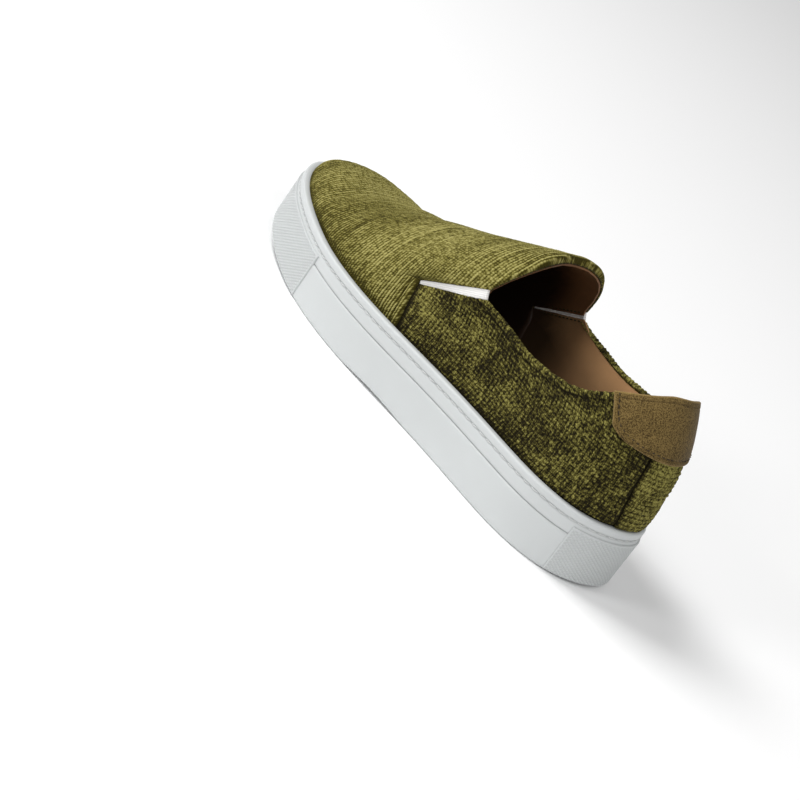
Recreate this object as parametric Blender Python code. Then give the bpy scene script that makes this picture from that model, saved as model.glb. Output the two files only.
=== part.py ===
"""Slip-on shoe for the left foot: cup sole, hollow textile upper, elastic gores, heel tab and insole.

Frame: +X to the toe, +Y to the lateral side, +Z up, origin on the floor under the middle of the sole.
Sizes in this script are millimetres and become metres where a mesh is made.

A plan angle runs round the sole: 0 is the back of the heel, plus or minus pi the tip of the toe,
positive on the lateral side. An arc of the last rises from the sole's rim at one plan angle to the
crest over the middle of the foot. The upper, tab and gores are all cut from these arcs.
"""
import bmesh
import bpy
import numpy as np

METRES = 0.001


def table(names, *rows):
    """A short table as one array for each named column."""
    return dict(zip(names.split(), np.array(rows, float).T))


# Driving sizes
LENGTH = 260.0
GAP = 0.3
RIM_WIDTH = 4.0
FLOOR_THICKNESS = 13.0
INSOLE_THICKNESS = 4.0
UPPER_WALL = 2.2
COLUMNS_PER_SIDE = 44
UPPER_ROWS = 14
HEM_BELOW_RIM = 3.0

# Half widths of the sole at shares of its length from the heel
SOLE_PLAN = table(
    "share lateral medial",
    (0.00, 0.0, 0.0),
    (0.05, 24.8, 25.2),
    (0.13, 35.3, 35.0),
    (0.22, 39.2, 37.4),
    (0.32, 42.3, 36.0),
    (0.42, 46.8, 35.0),
    (0.52, 51.8, 38.2),
    (0.62, 54.0, 45.2),
    (0.71, 52.0, 48.6),
    (0.80, 45.9, 46.0),
    (0.88, 37.4, 37.4),
    (0.95, 24.8, 23.8),
    (1.00, 0.5, -0.5),
)

# Height of the side wall from its own foot to the rim
SIDE_WALL = table("share height", (0.0, 30.0), (0.3, 29.7), (0.7, 28.6), (0.85, 28.2), (1.0, 25.4))
TOE_SPRING = 7.5
TOE_SPRING_FROM = 0.70
HEEL_BEVEL = 1.5
HEEL_BEVEL_TO = 0.07
ARCH_RISE = 1.5
ARCH_SPAN = (0.36, 0.56)

# Steps of the side wall
SOLE_EDGE_RADIUS = 1.5
GROOVE_SHARE = 0.655
GROOVE_DEPTH = 0.9
GROOVE_HALF_WIDTH = 0.6
BAND_SETBACK = 0.2
RIM_RADIUS = 0.8
BUMPER_PROUD = 0.6
BUMPER_TOP_SHARE = 0.80
TOE_BUMPER_FROM = 0.715
HEEL_BUMPER_TO = 0.040
STEP_RUN = 0.3

# The last: where the arc from each share of the rim meets the crest, how square the arc is, how much it
# leans back from the foot up, and how far the wall swells beyond the rim. Behind the tongue the crest
# stands in the open collar and only shapes the walls.
LAST = table(
    "share crest_x crest_y crest_z side_power top_power lean swell",
    (0.00, -50.0, 0.0, 120.0, 2.80, 2.40, 0.0, 3.2),
    (0.20, -52.0, 0.0, 116.0, 2.05, 2.40, 0.0, 1.6),
    (0.32, -54.0, 1.6, 110.0, 2.00, 2.35, 0.1, 0.8),
    (0.42, -46.5, 4.2, 103.0, 2.20, 2.60, 0.65, 0.3),
    (0.47, -39.3, 5.3, 99.0, 2.37, 2.90, 0.87, 0.1),
    (0.51, -27.2, 5.3, 97.0, 2.37, 2.80, 0.87, 0.0),
    (0.56, -15.5, 4.0, 92.2, 2.15, 2.25, 0.70, 0.0),
    (0.62, 2.0, 1.0, 82.4, 1.90, 1.90, 0.35, 0.0),
    (0.70, 35.0, -1.5, 65.5, 1.95, 1.90, 0.05, 0.0),
    (0.78, 63.0, -2.5, 53.0, 2.05, 1.95, 0.0, 0.0),
    (0.86, 84.0, -2.0, 47.0, 2.20, 2.00, 0.0, 0.0),
    (0.93, 97.0, -1.0, 43.8, 2.20, 2.00, 0.0, 0.0),
    (1.00, 104.0, -1.0, 42.5, 2.20, 2.00, 0.0, 0.0),
)
SWELL_TO = 0.72

# Top edge of the upper by share of the rim: round the collar, then up the tongue's edge to its tip
TOPLINE = table(
    "share height",
    (0.000, 91.2),
    (0.012, 90.4),
    (0.027, 88.3),
    (0.046, 85.7),
    (0.070, 82.6),
    (0.098, 78.9),
    (0.142, 72.2),
    (0.207, 66.9),
    (0.280, 64.8),
    (0.335, 65.8),
    (0.390, 66.9),
    (0.469, 68.0),
)
TONGUE_EDGE = table(
    "share height",
    (0.469, 68.0),
    (0.4715, 72.4),
    (0.474, 77.2),
    (0.478, 83.3),
    (0.485, 90.2),
    (0.495, 95.1),
    (0.504, 96.8),
    (0.510, 97.0),
)
NOTCH_SHARE = 0.469
TONGUE_TIP_SHARE = 0.51

# Side seam and gore in the side view, x and z: the vamp laps over the quarter by its own thickness
SEAM_FOOT = (0.5, 28.0)
GORE_TIP = (9.5, 48.5)
GORE_MOUTH = (-21.0, 67.0)
GORE_MOUTH_WIDTH = 4.0
GORE_OVERRUN = 1.25
GORE_SPAN = (0.30, 0.985)
GORE_ROWS = 14
SLIT_REACH = (4.0, 6.0)
GORE_THICKNESS = 1.0
GORE_SUNK = 0.6
VAMP_LAP = 0.7
LAP_RISE = 1.5
LAP_FADE = (4.0, 16.0)
STRIP_HALF_ANGLE = 0.19
STRIP_LAP = 0.5
STRIP_STEP = 0.004
SEAM_REACH = 0.16
SEAM_FADE = 17.0

# Heel tab: plan angle of its top corners, how far it narrows and is rounded below, and its lower edge's height
TAB_TOP_ANGLE = 0.636
TAB_TAPER = 0.10
TAB_CORNER = 0.10
TAB_CORNER_RISE = 0.25
TAB_FOOT = 66.5
TAB_THICKNESS = 1.2
TAB_GAP = 0.4
TAB_GRID = (11, 33)
TAB_CLOSER_BELOW = 1.5
TAB_EASE = (0.07, 0.25)

COLOURS = {
    "rubber": ((0.72, 0.74, 0.75), 0.55),
    "cloth": ((0.14, 0.13, 0.03), 0.95),
    "elastic": ((0.80, 0.79, 0.76), 0.85),
    "suede": ((0.18, 0.13, 0.05), 0.95),
    "leather": ((0.27, 0.14, 0.07), 0.70),
}


# Curves of the shoe

def spline(knots, values, at):
    """Natural cubic through the knots."""
    step = np.diff(knots)
    slope = np.diff(values) / step
    bend = np.zeros(len(knots))
    system = np.diag(2 * (step[:-1] + step[1:])) + np.diag(step[1:-1], 1) + np.diag(step[1:-1], -1)
    bend[1:-1] = np.linalg.solve(system, 6 * np.diff(slope))
    i = np.clip(np.searchsorted(knots, at) - 1, 0, len(knots) - 2)
    t = at - knots[i]
    first = slope[i] - step[i] * (2 * bend[i] + bend[i + 1]) / 6
    return values[i] + t * first + t**2 * bend[i] / 2 + t**3 * (bend[i + 1] - bend[i]) / (6 * step[i])


def smoothstep(low, high, at):
    """Rises from 0 at low to 1 at high with level ends."""
    t = np.clip((at - low) / (high - low), 0.0, 1.0)
    return t * t * (3 - 2 * t)


def share_of(angle):
    """Share of the sole's length, from the heel, at a plan angle."""
    return (1 - np.cos(angle)) / 2


def angle_of(share):
    """Plan angle on the lateral side at a share of the length."""
    return np.arccos(1 - 2 * np.asarray(share, float))


def outline(angle):
    """Outer edge of the sole, in plan."""
    wrapped = (angle + np.pi) % (2 * np.pi) - np.pi
    size = np.abs(wrapped)
    knots = angle_of(SOLE_PLAN["share"])
    lateral = spline(knots, SOLE_PLAN["lateral"], size)
    medial = spline(knots, SOLE_PLAN["medial"], size)
    return -np.cos(size) * LENGTH / 2, np.where(wrapped >= 0, lateral, -medial)


def plan(angle, inset):
    """Outer edge of the sole moved inwards, square to itself."""
    nudge = 1e-3
    x, y = outline(angle)
    ahead = outline(angle + nudge)
    behind = outline(angle - nudge)
    along_x = ahead[0] - behind[0]
    along_y = ahead[1] - behind[1]
    length = np.hypot(along_x, along_y)
    return x + inset * along_y / length, y - inset * along_x / length


def ground(share):
    """Underside at the sole's edge: level, with toe spring and a small bevel at the heel."""
    toe = np.clip((share - TOE_SPRING_FROM) / (1 - TOE_SPRING_FROM), 0, 1)
    heel = np.clip((HEEL_BEVEL_TO - share) / HEEL_BEVEL_TO, 0, 1)
    return TOE_SPRING * toe**2 + HEEL_BEVEL * heel**2


def arch(share):
    """Rise of the underside between heel and forefoot."""
    low, high = ARCH_SPAN
    middle = np.clip((share - low) / (high - low), 0, 1)
    return ARCH_RISE * np.sin(np.pi * middle) ** 2


def rim(share):
    """Top of the side wall."""
    return ground(share) + spline(SIDE_WALL["share"], SIDE_WALL["height"], share)


def cup_floor(share):
    """Upper face of the rubber under the insole."""
    return ground(share) + FLOOR_THICKNESS


# The last

def arc_ends(angle, inset):
    """Foot and crest of the arc at a plan angle, with the other columns of the last."""
    share = share_of(angle)
    foot_x, foot_y = plan(angle, inset)
    column = {name: spline(LAST["share"], LAST[name], share) for name in LAST if name != "share"}
    foot = np.stack([foot_x, foot_y, rim(share)], -1)
    crest = np.stack([column["crest_x"], column["crest_y"], column["crest_z"]], -1)
    return foot, crest, column


def last_point(angle, turn, inset, sink=0.0):
    """Point of the last: turn runs from 0 at the rim to pi / 2 at the crest, which sink lowers."""
    foot, crest, column = arc_ends(angle, inset)
    inwards = 1 - np.cos(turn) ** (2 / column["side_power"])
    upwards = np.sin(turn) ** (2 / column["top_power"])
    outward = np.stack(outline(angle), -1) - np.stack(plan(angle, 1.0), -1)
    swell = column["swell"] * np.sin(np.pi * np.minimum(upwards / SWELL_TO, 1))
    leaning = inwards + (upwards - inwards) * column["lean"]
    flat = foot[..., :2] + (crest - foot)[..., :2] * np.stack([leaning, inwards], -1) + outward * swell[..., None]
    height = foot[..., 2] + (crest[..., 2] - sink - foot[..., 2]) * upwards
    return np.concatenate([flat, height[..., None]], -1)


def turn_at(angle, height):
    """How far round its arc the last reaches a height."""
    foot, crest, column = arc_ends(angle, RIM_WIDTH + GAP)
    climb = np.clip((height - foot[..., 2]) / (crest[..., 2] - foot[..., 2]), 0, 1)
    return np.arcsin(climb ** (column["top_power"] / 2))


def angle_at(x, height, side):
    """Plan angle whose arc passes a point of the side view."""
    foot_x = x
    for _ in range(30):
        angle = side * angle_of(np.clip(foot_x / LENGTH + 0.5, 0.001, 0.999))
        gone = last_point(angle, turn_at(angle, height), RIM_WIDTH + GAP)[..., 0] - x
        foot_x = foot_x - 0.7 * gone
    return angle


def topline(angle):
    """Height of the upper's top edge: collar, tongue, or the crest where the vamp is closed."""
    share = share_of(angle)
    _, crest, _ = arc_ends(angle, RIM_WIDTH + GAP)
    collar = spline(TOPLINE["share"], TOPLINE["height"], np.minimum(share, NOTCH_SHARE))
    tongue = spline(TONGUE_EDGE["share"], TONGUE_EDGE["height"], np.clip(share, NOTCH_SHARE, TONGUE_TIP_SHARE))
    edge = np.where(share < NOTCH_SHARE, collar, tongue)
    return np.where(share >= TONGUE_TIP_SHARE - 1e-9, crest[..., 2], np.minimum(edge, crest[..., 2]))


def seam_x(height):
    """Side seam in the side view, from the rim up to the tip of the gore."""
    climb = (height - SEAM_FOOT[1]) / (GORE_TIP[1] - SEAM_FOOT[1])
    return SEAM_FOOT[0] + (GORE_TIP[0] - SEAM_FOOT[0]) * np.clip(climb, 0, 1)


def gore_line(x):
    """Middle of the gore in the side view."""
    along = (x - GORE_TIP[0]) / (GORE_MOUTH[0] - GORE_TIP[0])
    return GORE_TIP[1] + (GORE_MOUTH[1] - GORE_TIP[1]) * along


# Meshes

def make_object(name, points, faces, material):
    """A mesh object from points in millimetres."""
    mesh = bpy.data.meshes.new(name)
    mesh.from_pydata((points * METRES).tolist(), [], faces)
    body = bmesh.new()
    body.from_mesh(mesh)
    bmesh.ops.remove_doubles(body, verts=body.verts, dist=1e-7)
    bmesh.ops.recalc_face_normals(body, faces=body.faces)
    body.to_mesh(mesh)
    body.free()
    mesh.materials.append(material)
    mesh.shade_smooth()
    return bpy.data.objects.new(name, mesh)


def grid_faces(rows, columns, closed):
    """Quads of a grid whose points run along its rows; closed joins the last column to the first."""
    reach = columns if closed else columns - 1
    r, c = np.meshgrid(np.arange(rows - 1), np.arange(reach), indexing="ij")
    right = (c + 1) % columns
    quads = np.stack([r * columns + c, r * columns + right, (r + 1) * columns + right, (r + 1) * columns + c], -1)
    return quads.reshape(-1, 4).tolist()


def cap_faces(start, half):
    """Strips across one ring, between its lateral and medial points of the same station."""
    lateral = [start + half + i for i in range(half)] + [start]
    medial = [start + half - i for i in range(half + 1)]
    strips = [[lateral[i], lateral[i + 1], medial[i + 1], medial[i]] for i in range(1, half - 1)]
    heel = [lateral[0], lateral[1], medial[1]]
    toe = [lateral[half - 1], lateral[half], medial[half - 1]]
    return strips + [heel, toe]


def ring_solid(name, rings, material):
    """A solid from a stack of closed rings, capped at the first and the last."""
    rows, columns, _ = rings.shape
    half = columns // 2
    faces = grid_faces(rows, columns, closed=True)
    faces += cap_faces(0, half)
    faces += cap_faces((rows - 1) * columns, half)
    return make_object(name, rings.reshape(-1, 3), faces, material)


def round_columns(half):
    """Plan angles all the way round from the angles of one side, toe first."""
    half = np.unique(np.round(half, 9))
    return np.concatenate([-half[::-1], half[1:-1]])


def ring(angle, inset, height):
    """One closed ring at an inset from the outline."""
    x, y = plan(angle, inset)
    return np.stack([x, y, height + 0 * x], -1)


# Pieces

def make_outsole(material):
    """Cup sole: bumpers at toe and heel, groove, stitched band, rim and the cup inside."""
    step = STEP_RUN / LENGTH
    stops = [TOE_BUMPER_FROM - step, TOE_BUMPER_FROM + step, HEEL_BUMPER_TO - step, HEEL_BUMPER_TO + step]
    half = np.concatenate([np.linspace(0, np.pi, COLUMNS_PER_SIDE + 1), angle_of(stops)])
    angle = round_columns(half)
    share = share_of(angle)
    low = ground(share)
    top = rim(share)
    groove = low + (top - low) * GROOVE_SHARE
    bumper_top = low + (top - low) * BUMPER_TOP_SHARE
    on_bumper = (share > TOE_BUMPER_FROM) | (share < HEEL_BUMPER_TO)
    wall = np.where(on_bumper, -BUMPER_PROUD, 0.0)
    band = np.where(on_bumper, -BUMPER_PROUD, BAND_SETBACK)
    under = low + arch(share)
    rings = [
        ring(angle, 3 * SOLE_EDGE_RADIUS, under),
        ring(angle, SOLE_EDGE_RADIUS, under),
        ring(angle, 0.3 * SOLE_EDGE_RADIUS, under + 0.3 * SOLE_EDGE_RADIUS),
        ring(angle, wall, low + 1.6 * SOLE_EDGE_RADIUS),
        ring(angle, wall, groove - GROOVE_HALF_WIDTH),
        ring(angle, np.where(on_bumper, wall, GROOVE_DEPTH), groove),
        ring(angle, band, groove + GROOVE_HALF_WIDTH),
        ring(angle, band, bumper_top - GROOVE_HALF_WIDTH),
        ring(angle, BAND_SETBACK, bumper_top),
        ring(angle, BAND_SETBACK, top - RIM_RADIUS),
        ring(angle, BAND_SETBACK + 0.3 * RIM_RADIUS, top - 0.3 * RIM_RADIUS),
        ring(angle, BAND_SETBACK + RIM_RADIUS, top),
        ring(angle, RIM_WIDTH, top),
        ring(angle, RIM_WIDTH, cup_floor(share)),
    ]
    return ring_solid("outsole", np.array(rings), material)


def make_insole(material):
    """Footbed on the cup's floor, inside the upper's wall."""
    angle = round_columns(np.linspace(0, np.pi, COLUMNS_PER_SIDE + 1))
    low = cup_floor(share_of(angle)) + GAP
    edge = RIM_WIDTH + UPPER_WALL + 2.5 * GAP
    soft = 0.25 * INSOLE_THICKNESS
    rings = [
        ring(angle, edge, low),
        ring(angle, edge, low + INSOLE_THICKNESS - soft),
        ring(angle, edge + soft, low + INSOLE_THICKNESS),
    ]
    return ring_solid("insole", np.array(rings), material)


def upper_columns():
    """Plan angles of the upper's grid, with close pairs at the side seams and the back strip."""
    run = 0.5 * STEP_RUN
    seam = angle_of(0.5 + (SEAM_FOOT[0] + np.array([-run, run])) / LENGTH)
    strip = STRIP_HALF_ANGLE + np.array([-STRIP_STEP, STRIP_STEP])
    edge = angle_of(TONGUE_EDGE["share"])
    return round_columns(np.concatenate([np.linspace(0, np.pi, COLUMNS_PER_SIDE + 1), seam, strip, edge]))


def follow_seam(angle, height):
    """Slides the columns near the side seam so that one pair runs along it."""
    seam_angle = angle_of(0.5 + SEAM_FOOT[0] / LENGTH)
    near = np.exp(-(((np.abs(angle) - seam_angle) / SEAM_REACH) ** 2))
    fade = 1 - smoothstep(GORE_TIP[1], GORE_TIP[1] + SEAM_FADE, height)
    side = np.where(angle < 0, -1, 1)
    slide = angle_at(seam_x(height), height, side) - side * seam_angle
    return angle + slide * near * fade


def outward(points):
    """Unit normals of a ring-wise grid, pointing away from the foot."""
    along = np.roll(points, -1, axis=1) - np.roll(points, 1, axis=1)
    up = np.gradient(points, axis=0)
    normal = np.cross(up, along)
    return normal / np.maximum(np.linalg.norm(normal, axis=-1, keepdims=True), 1e-9)


def lap(angle, points):
    """How far the vamp and the back strip stand proud of the quarters."""
    x = points[..., 0]
    z = points[..., 2]
    vamp = np.where(z < GORE_TIP[1], x > seam_x(z), z > gore_line(x))
    strip = np.abs(angle) < STRIP_HALF_ANGLE
    clear_of_rim = smoothstep(0.2, LAP_RISE, z - rim(share_of(angle)))
    return (VAMP_LAP * vamp * clear_of_mouth(x) + STRIP_LAP * strip) * clear_of_rim


def clear_of_mouth(x):
    """Fades the vamp's lap out at the mouth of the gore and over the tongue."""
    return smoothstep(GORE_MOUTH[0] + LAP_FADE[0], GORE_MOUTH[0] + LAP_FADE[1], x)


def make_upper(material, cutters):
    """Hollow wall: vamp with tongue, two quarters and back strip, open at the collar and below."""
    column = upper_columns()
    top_turn = turn_at(column, topline(column))
    rise = np.linspace(0, 1, UPPER_ROWS)[:, None]
    turn = rise * top_turn[None, :]
    level = last_point(column + 0 * turn, turn, RIM_WIDTH + GAP)[..., 2]
    angle = follow_seam(column + 0 * turn, level)
    outer = last_point(angle, np.minimum(turn, np.pi / 2), RIM_WIDTH + GAP)
    inner = last_point(angle, np.minimum(turn, np.pi / 2), RIM_WIDTH + GAP + UPPER_WALL, sink=UPPER_WALL)
    closed = share_of(column) >= TONGUE_TIP_SHARE - 1e-9
    _, crest, _ = arc_ends(column, RIM_WIDTH + GAP)
    outer = outer + outward(outer) * lap(angle, outer)[..., None]
    lift = VAMP_LAP * clear_of_mouth(crest[..., 0:1]) * [0, 0, 1]
    outer[-1, closed] = (crest + lift)[closed]
    inner[-1, closed] = crest[closed] - [0, 0, UPPER_WALL]
    hem = [cup_floor(share_of(column)) + GAP, rim(share_of(column)) - HEM_BELOW_RIM]
    outer = np.concatenate([[ring(column, RIM_WIDTH + GAP, z) for z in hem], outer])
    inner = np.concatenate([[ring(column, RIM_WIDTH + GAP + UPPER_WALL, z) for z in hem], inner])
    rows, columns, _ = outer.shape
    points = np.concatenate([outer, inner[::-1]]).reshape(-1, 3)
    faces = grid_faces(2 * rows, columns, closed=True)
    edge_row = rows - 1
    both_closed = closed & np.roll(closed, -1)
    crest_strip = {edge_row * columns + c for c in np.flatnonzero(both_closed)}
    faces = [face for face in faces if face[0] not in crest_strip]
    bottom = [[c, (c + 1) % columns] for c in range(columns)]
    last_row = (2 * rows - 1) * columns
    faces += [[last_row + a, last_row + b, b, a] for a, b in bottom]
    upper = make_object("upper", points, faces, material)
    for cutter in cutters:
        cut = upper.modifiers.new("gore slit", "BOOLEAN")
        cut.operation = "DIFFERENCE"
        cut.object = cutter
    return upper


def gore_sheet(side, narrowing, start, end, lift):
    """Points of the gore's wedge on the last, from near its tip to past its mouth."""
    along = np.linspace(start, end, GORE_ROWS)[:, None]
    across = np.linspace(-0.5, 0.5, 3)[None, :]
    run = np.subtract(GORE_MOUTH, GORE_TIP)
    square = np.array([-run[1], run[0]]) / np.hypot(*run)
    width = np.maximum(GORE_MOUTH_WIDTH * along - 2 * narrowing, 0.02)
    x = GORE_TIP[0] + run[0] * along + square[0] * width * across
    z = GORE_TIP[1] + run[1] * along + square[1] * width * across
    angle = angle_at(x, z, side)
    points = last_point(angle, turn_at(angle, z), RIM_WIDTH + GAP)
    out = np.cross(np.gradient(points, axis=0), np.gradient(points, axis=1))
    out = out / np.linalg.norm(out, axis=-1, keepdims=True)
    out = out * np.sign(np.sum(out * [0, side, 0.5], -1, keepdims=True))
    return points + out * lift


def sheet_solid(name, outer, inner, material):
    """A thin solid between two grids of the same size."""
    rows, columns, _ = outer.shape
    count = rows * columns
    faces = grid_faces(rows, columns, closed=False)
    back = [[count + i for i in face[::-1]] for face in faces]
    border = list(range(columns))
    border += [r * columns + columns - 1 for r in range(1, rows)]
    border += [(rows - 1) * columns + c for c in range(columns - 2, -1, -1)]
    border += [r * columns for r in range(rows - 2, 0, -1)]
    sides = [[a, b, count + b, count + a] for a, b in zip(border, border[1:] + border[:1])]
    points = np.concatenate([outer.reshape(-1, 3), inner.reshape(-1, 3)])
    return make_object(name, points, faces + back + sides, material)


def make_gore_cutter(side, name, material):
    """Wedge that opens the slit for one gore."""
    outer = gore_sheet(side, 0.0, 0.0, GORE_OVERRUN, SLIT_REACH[0])
    inner = gore_sheet(side, 0.0, 0.0, GORE_OVERRUN, -SLIT_REACH[1])
    cutter = sheet_solid(name, outer, inner, material)
    cutter.hide_render = True
    cutter.display_type = "WIRE"
    return cutter


def make_gore(side, name, material):
    """Elastic in the slit between vamp and quarter, a little below the cloth."""
    outer = gore_sheet(side, GAP, *GORE_SPAN, -GORE_SUNK)
    inner = gore_sheet(side, GAP, *GORE_SPAN, -GORE_SUNK - GORE_THICKNESS)
    return sheet_solid(name, outer, inner, material)


def make_heel_tab(material):
    """Patch over the top of the heel, rounded at its two lower corners."""
    climb = np.linspace(0, 1, TAB_GRID[0])[:, None] ** TAB_CLOSER_BELOW
    across = np.linspace(-1, 1, TAB_GRID[1])[None, :]
    corner = TAB_CORNER * np.clip(1 - climb / TAB_CORNER_RISE, 0, 1) ** 3
    angle = across * (TAB_TOP_ANGLE - TAB_TAPER * (1 - climb) - corner)
    height = TAB_FOOT + (topline(angle) - TAB_FOOT) * climb
    points = last_point(angle, turn_at(angle, height), RIM_WIDTH + GAP)
    along = np.gradient(points, axis=1)
    up = np.gradient(points, axis=0)
    out = np.cross(up, along)
    out = out / np.linalg.norm(out, axis=-1, keepdims=True)
    off_strip = smoothstep(STRIP_HALF_ANGLE + TAB_EASE[0], STRIP_HALF_ANGLE + TAB_EASE[1], np.abs(angle))
    inside = (TAB_GAP + STRIP_LAP * (1 - off_strip))[..., None]
    return sheet_solid("heel_tab", points + out * (inside + TAB_THICKNESS), points + out * inside, material)


def make_material(name):
    """One plain finish."""
    colour, roughness = COLOURS[name]
    material = bpy.data.materials.new(name)
    material.use_nodes = True
    shader = material.node_tree.nodes["Principled BSDF"]
    shader.inputs["Base Color"].default_value = (*colour, 1.0)
    shader.inputs["Roughness"].default_value = roughness
    shader.inputs["Metallic"].default_value = 0.0
    return material


def middle_of(outsole):
    """Half way between the sole's widest points, where the origin goes."""
    across = [vertex.co.y for vertex in outsole.data.vertices]
    return (max(across) + min(across)) / 2


def main():
    """Clears the scene and builds the shoe."""
    for obj in list(bpy.data.objects):
        bpy.data.objects.remove(obj)
    shoe = bpy.data.collections.new("slip_on_shoe")
    tools = bpy.data.collections.new("cutters")
    bpy.context.scene.collection.children.link(shoe)
    bpy.context.scene.collection.children.link(tools)
    finish = {name: make_material(name) for name in COLOURS}
    sides = {"lateral": 1, "medial": -1}
    cutters = [make_gore_cutter(side, f"slit_{name}", finish["cloth"]) for name, side in sides.items()]
    pieces = [
        make_outsole(finish["rubber"]),
        make_upper(finish["cloth"], cutters),
        make_insole(finish["leather"]),
        make_heel_tab(finish["suede"]),
    ]
    pieces += [make_gore(side, f"gore_{name}", finish["elastic"]) for name, side in sides.items()]
    for piece in pieces:
        shoe.objects.link(piece)
    for cutter in cutters:
        tools.objects.link(cutter)
    middle = middle_of(pieces[0])
    for obj in pieces + cutters:
        obj.location.y = -middle


main()
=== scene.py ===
"""Slip-on shoe for the left foot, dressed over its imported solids.

Shapes are worked out in millimetres and become metres where a mesh is made. +X runs to the toe, +Y to the
lateral side and +Z up. A plan angle runs round the sole: 0 is the back of the heel, plus or minus pi the tip
of the toe, positive on the lateral side. An arc of the last rises from the rim at one plan angle to the crest
over the middle of the foot, and turn says how far round that arc a point is.
"""

import bpy
import numpy as np
from bpy.props import FloatProperty, FloatVectorProperty, PointerProperty
from mathutils import Matrix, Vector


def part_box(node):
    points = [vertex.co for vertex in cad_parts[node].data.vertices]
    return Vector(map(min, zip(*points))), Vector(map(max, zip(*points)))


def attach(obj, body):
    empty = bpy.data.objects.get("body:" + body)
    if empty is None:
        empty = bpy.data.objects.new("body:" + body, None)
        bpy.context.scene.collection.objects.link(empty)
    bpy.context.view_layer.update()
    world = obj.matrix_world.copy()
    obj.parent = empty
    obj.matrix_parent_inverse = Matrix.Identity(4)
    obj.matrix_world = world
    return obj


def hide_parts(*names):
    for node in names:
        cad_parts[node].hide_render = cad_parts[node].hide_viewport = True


bl_info = {
    "name": "Slip-on shoe",
    "version": (1, 0, 0),
    "blender": (4, 5, 0),
    "location": "View3D > Sidebar > Shoe",
    "description": "Dresses the solids of a slip-on shoe in knitted cloth, suede, leather, rubber and thread",
    "category": "Add Mesh",
}

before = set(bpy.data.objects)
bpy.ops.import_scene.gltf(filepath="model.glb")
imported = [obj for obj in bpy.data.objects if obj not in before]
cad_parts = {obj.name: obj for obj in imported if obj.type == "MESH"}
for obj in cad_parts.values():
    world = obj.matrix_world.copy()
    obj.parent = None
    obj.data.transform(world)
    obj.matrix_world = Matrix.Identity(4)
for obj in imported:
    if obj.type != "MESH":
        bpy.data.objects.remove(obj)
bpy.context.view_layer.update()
METRES = 0.001
UP = (0, 0, 1)
BACK = (-1, 0, 0)
# Edges that turn by more than this stay sharp
SHARP = np.radians(65)
# The hidden inner face of a sheet has every fourth point of its outer face
INNER_STEP = 4


def linear(code):
    """Linear colour from an sRGB hex value."""
    value = np.array([int(code[i : i + 2], 16) for i in (1, 3, 5)]) / 255
    curve = np.where(value <= 0.04045, value / 12.92, ((value + 0.055) / 1.055) ** 2.4)
    return tuple(float(part) for part in curve)


def length(name, description, default):
    """A size in metres that a user may change."""
    return FloatProperty(name=name, description=description, default=default, min=0.0, unit="LENGTH")


def colour(name, description, code):
    """A colour that a user may change, from its sRGB hex value."""
    return FloatVectorProperty(
        name=name, description=description, default=linear(code), size=3, min=0.0, max=1.0, subtype="COLOR"
    )


class ShoeSizes(bpy.types.PropertyGroup):
    """Sizes of the cloth, the seams and the moulded pattern."""

    vamp_rib: length("Vamp rib", "Spacing of the ribs that run across the vamp", 0.00156)
    quarter_rib: length("Quarter rib", "Spacing of the upright ribs of the quarters", 0.00205)
    quarter_row: length("Quarter row", "Spacing of the level rows of the quarters", 0.00185)
    strip_row: length("Strip row", "Spacing of the level ribs of the back strip", 0.0021)
    rib_height: length("Rib height", "How far a rib of the knit stands up", 0.00038)
    hem: length("Hem", "Depth of the folded collar edge down to its stitches", 0.0048)
    sole_stitch: length("Sole stitch", "Spacing of the stitches round the sole's band", 0.005)
    seam_stitch: length("Seam stitch", "Spacing of the stitches on the cloth and suede", 0.0026)
    hatch: length("Hatch", "Spacing of the diagonal grooves on the bumpers", 0.0013)


class ShoeColours(bpy.types.PropertyGroup):
    """Colours of the materials."""

    # Each knit's low colour is painted shade between its ribs and stitches
    vamp_low: colour("Vamp, low", "Between the ribs of the vamp", "#3a3408")
    vamp_mid: colour("Vamp, middle", "Body of the vamp's ribs", "#777036")
    vamp_high: colour("Vamp, high", "Tips of the vamp's ribs", "#aaa264")
    quarter_low: colour("Quarter, low", "Between the ribs of the quarters", "#171204")
    quarter_mid: colour("Quarter, middle", "Body of the quarters' ribs", "#4f491e")
    quarter_high: colour("Quarter, high", "Tips of the quarters' ribs", "#938c4b")
    suede_low: colour("Suede, low", "Suede where its nap lies away", "#33260f")
    suede_high: colour("Suede, high", "Suede where its nap stands up", "#806a3e")
    lining: colour("Lining", "Tan leather inside the quarters", "#e2b07c")
    # Same leather as the quarters' lining, darker as painted shade inside the vamp
    vamp_lining: colour("Vamp lining", "Brown leather inside the vamp", "#8a6240")
    # The footbed's leather is darkened as painted shade deep in the shoe
    insole: colour("Insole", "Tan leather of the footbed", "#3d2919")
    elastic: colour("Elastic", "White woven elastic", "#f0eeec")
    rubber: colour("Rubber", "White moulded rubber", "#c6c9c9")
    sole_thread: colour("Sole thread", "Thread round the sole's band", "#d2d4d3")
    dark_thread: colour("Dark thread", "Thread on the cloth", "#3a3413")
    suede_thread: colour("Suede thread", "Thread on the heel tab", "#352810")
    floor: colour("Floor", "Pale studio floor", "#fcfcfc")


def table(names, *rows):
    """A short table as one array for each named column."""
    return dict(zip(names.split(), np.array(rows, float).T))


# Sizes shared with the part's solids

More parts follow.
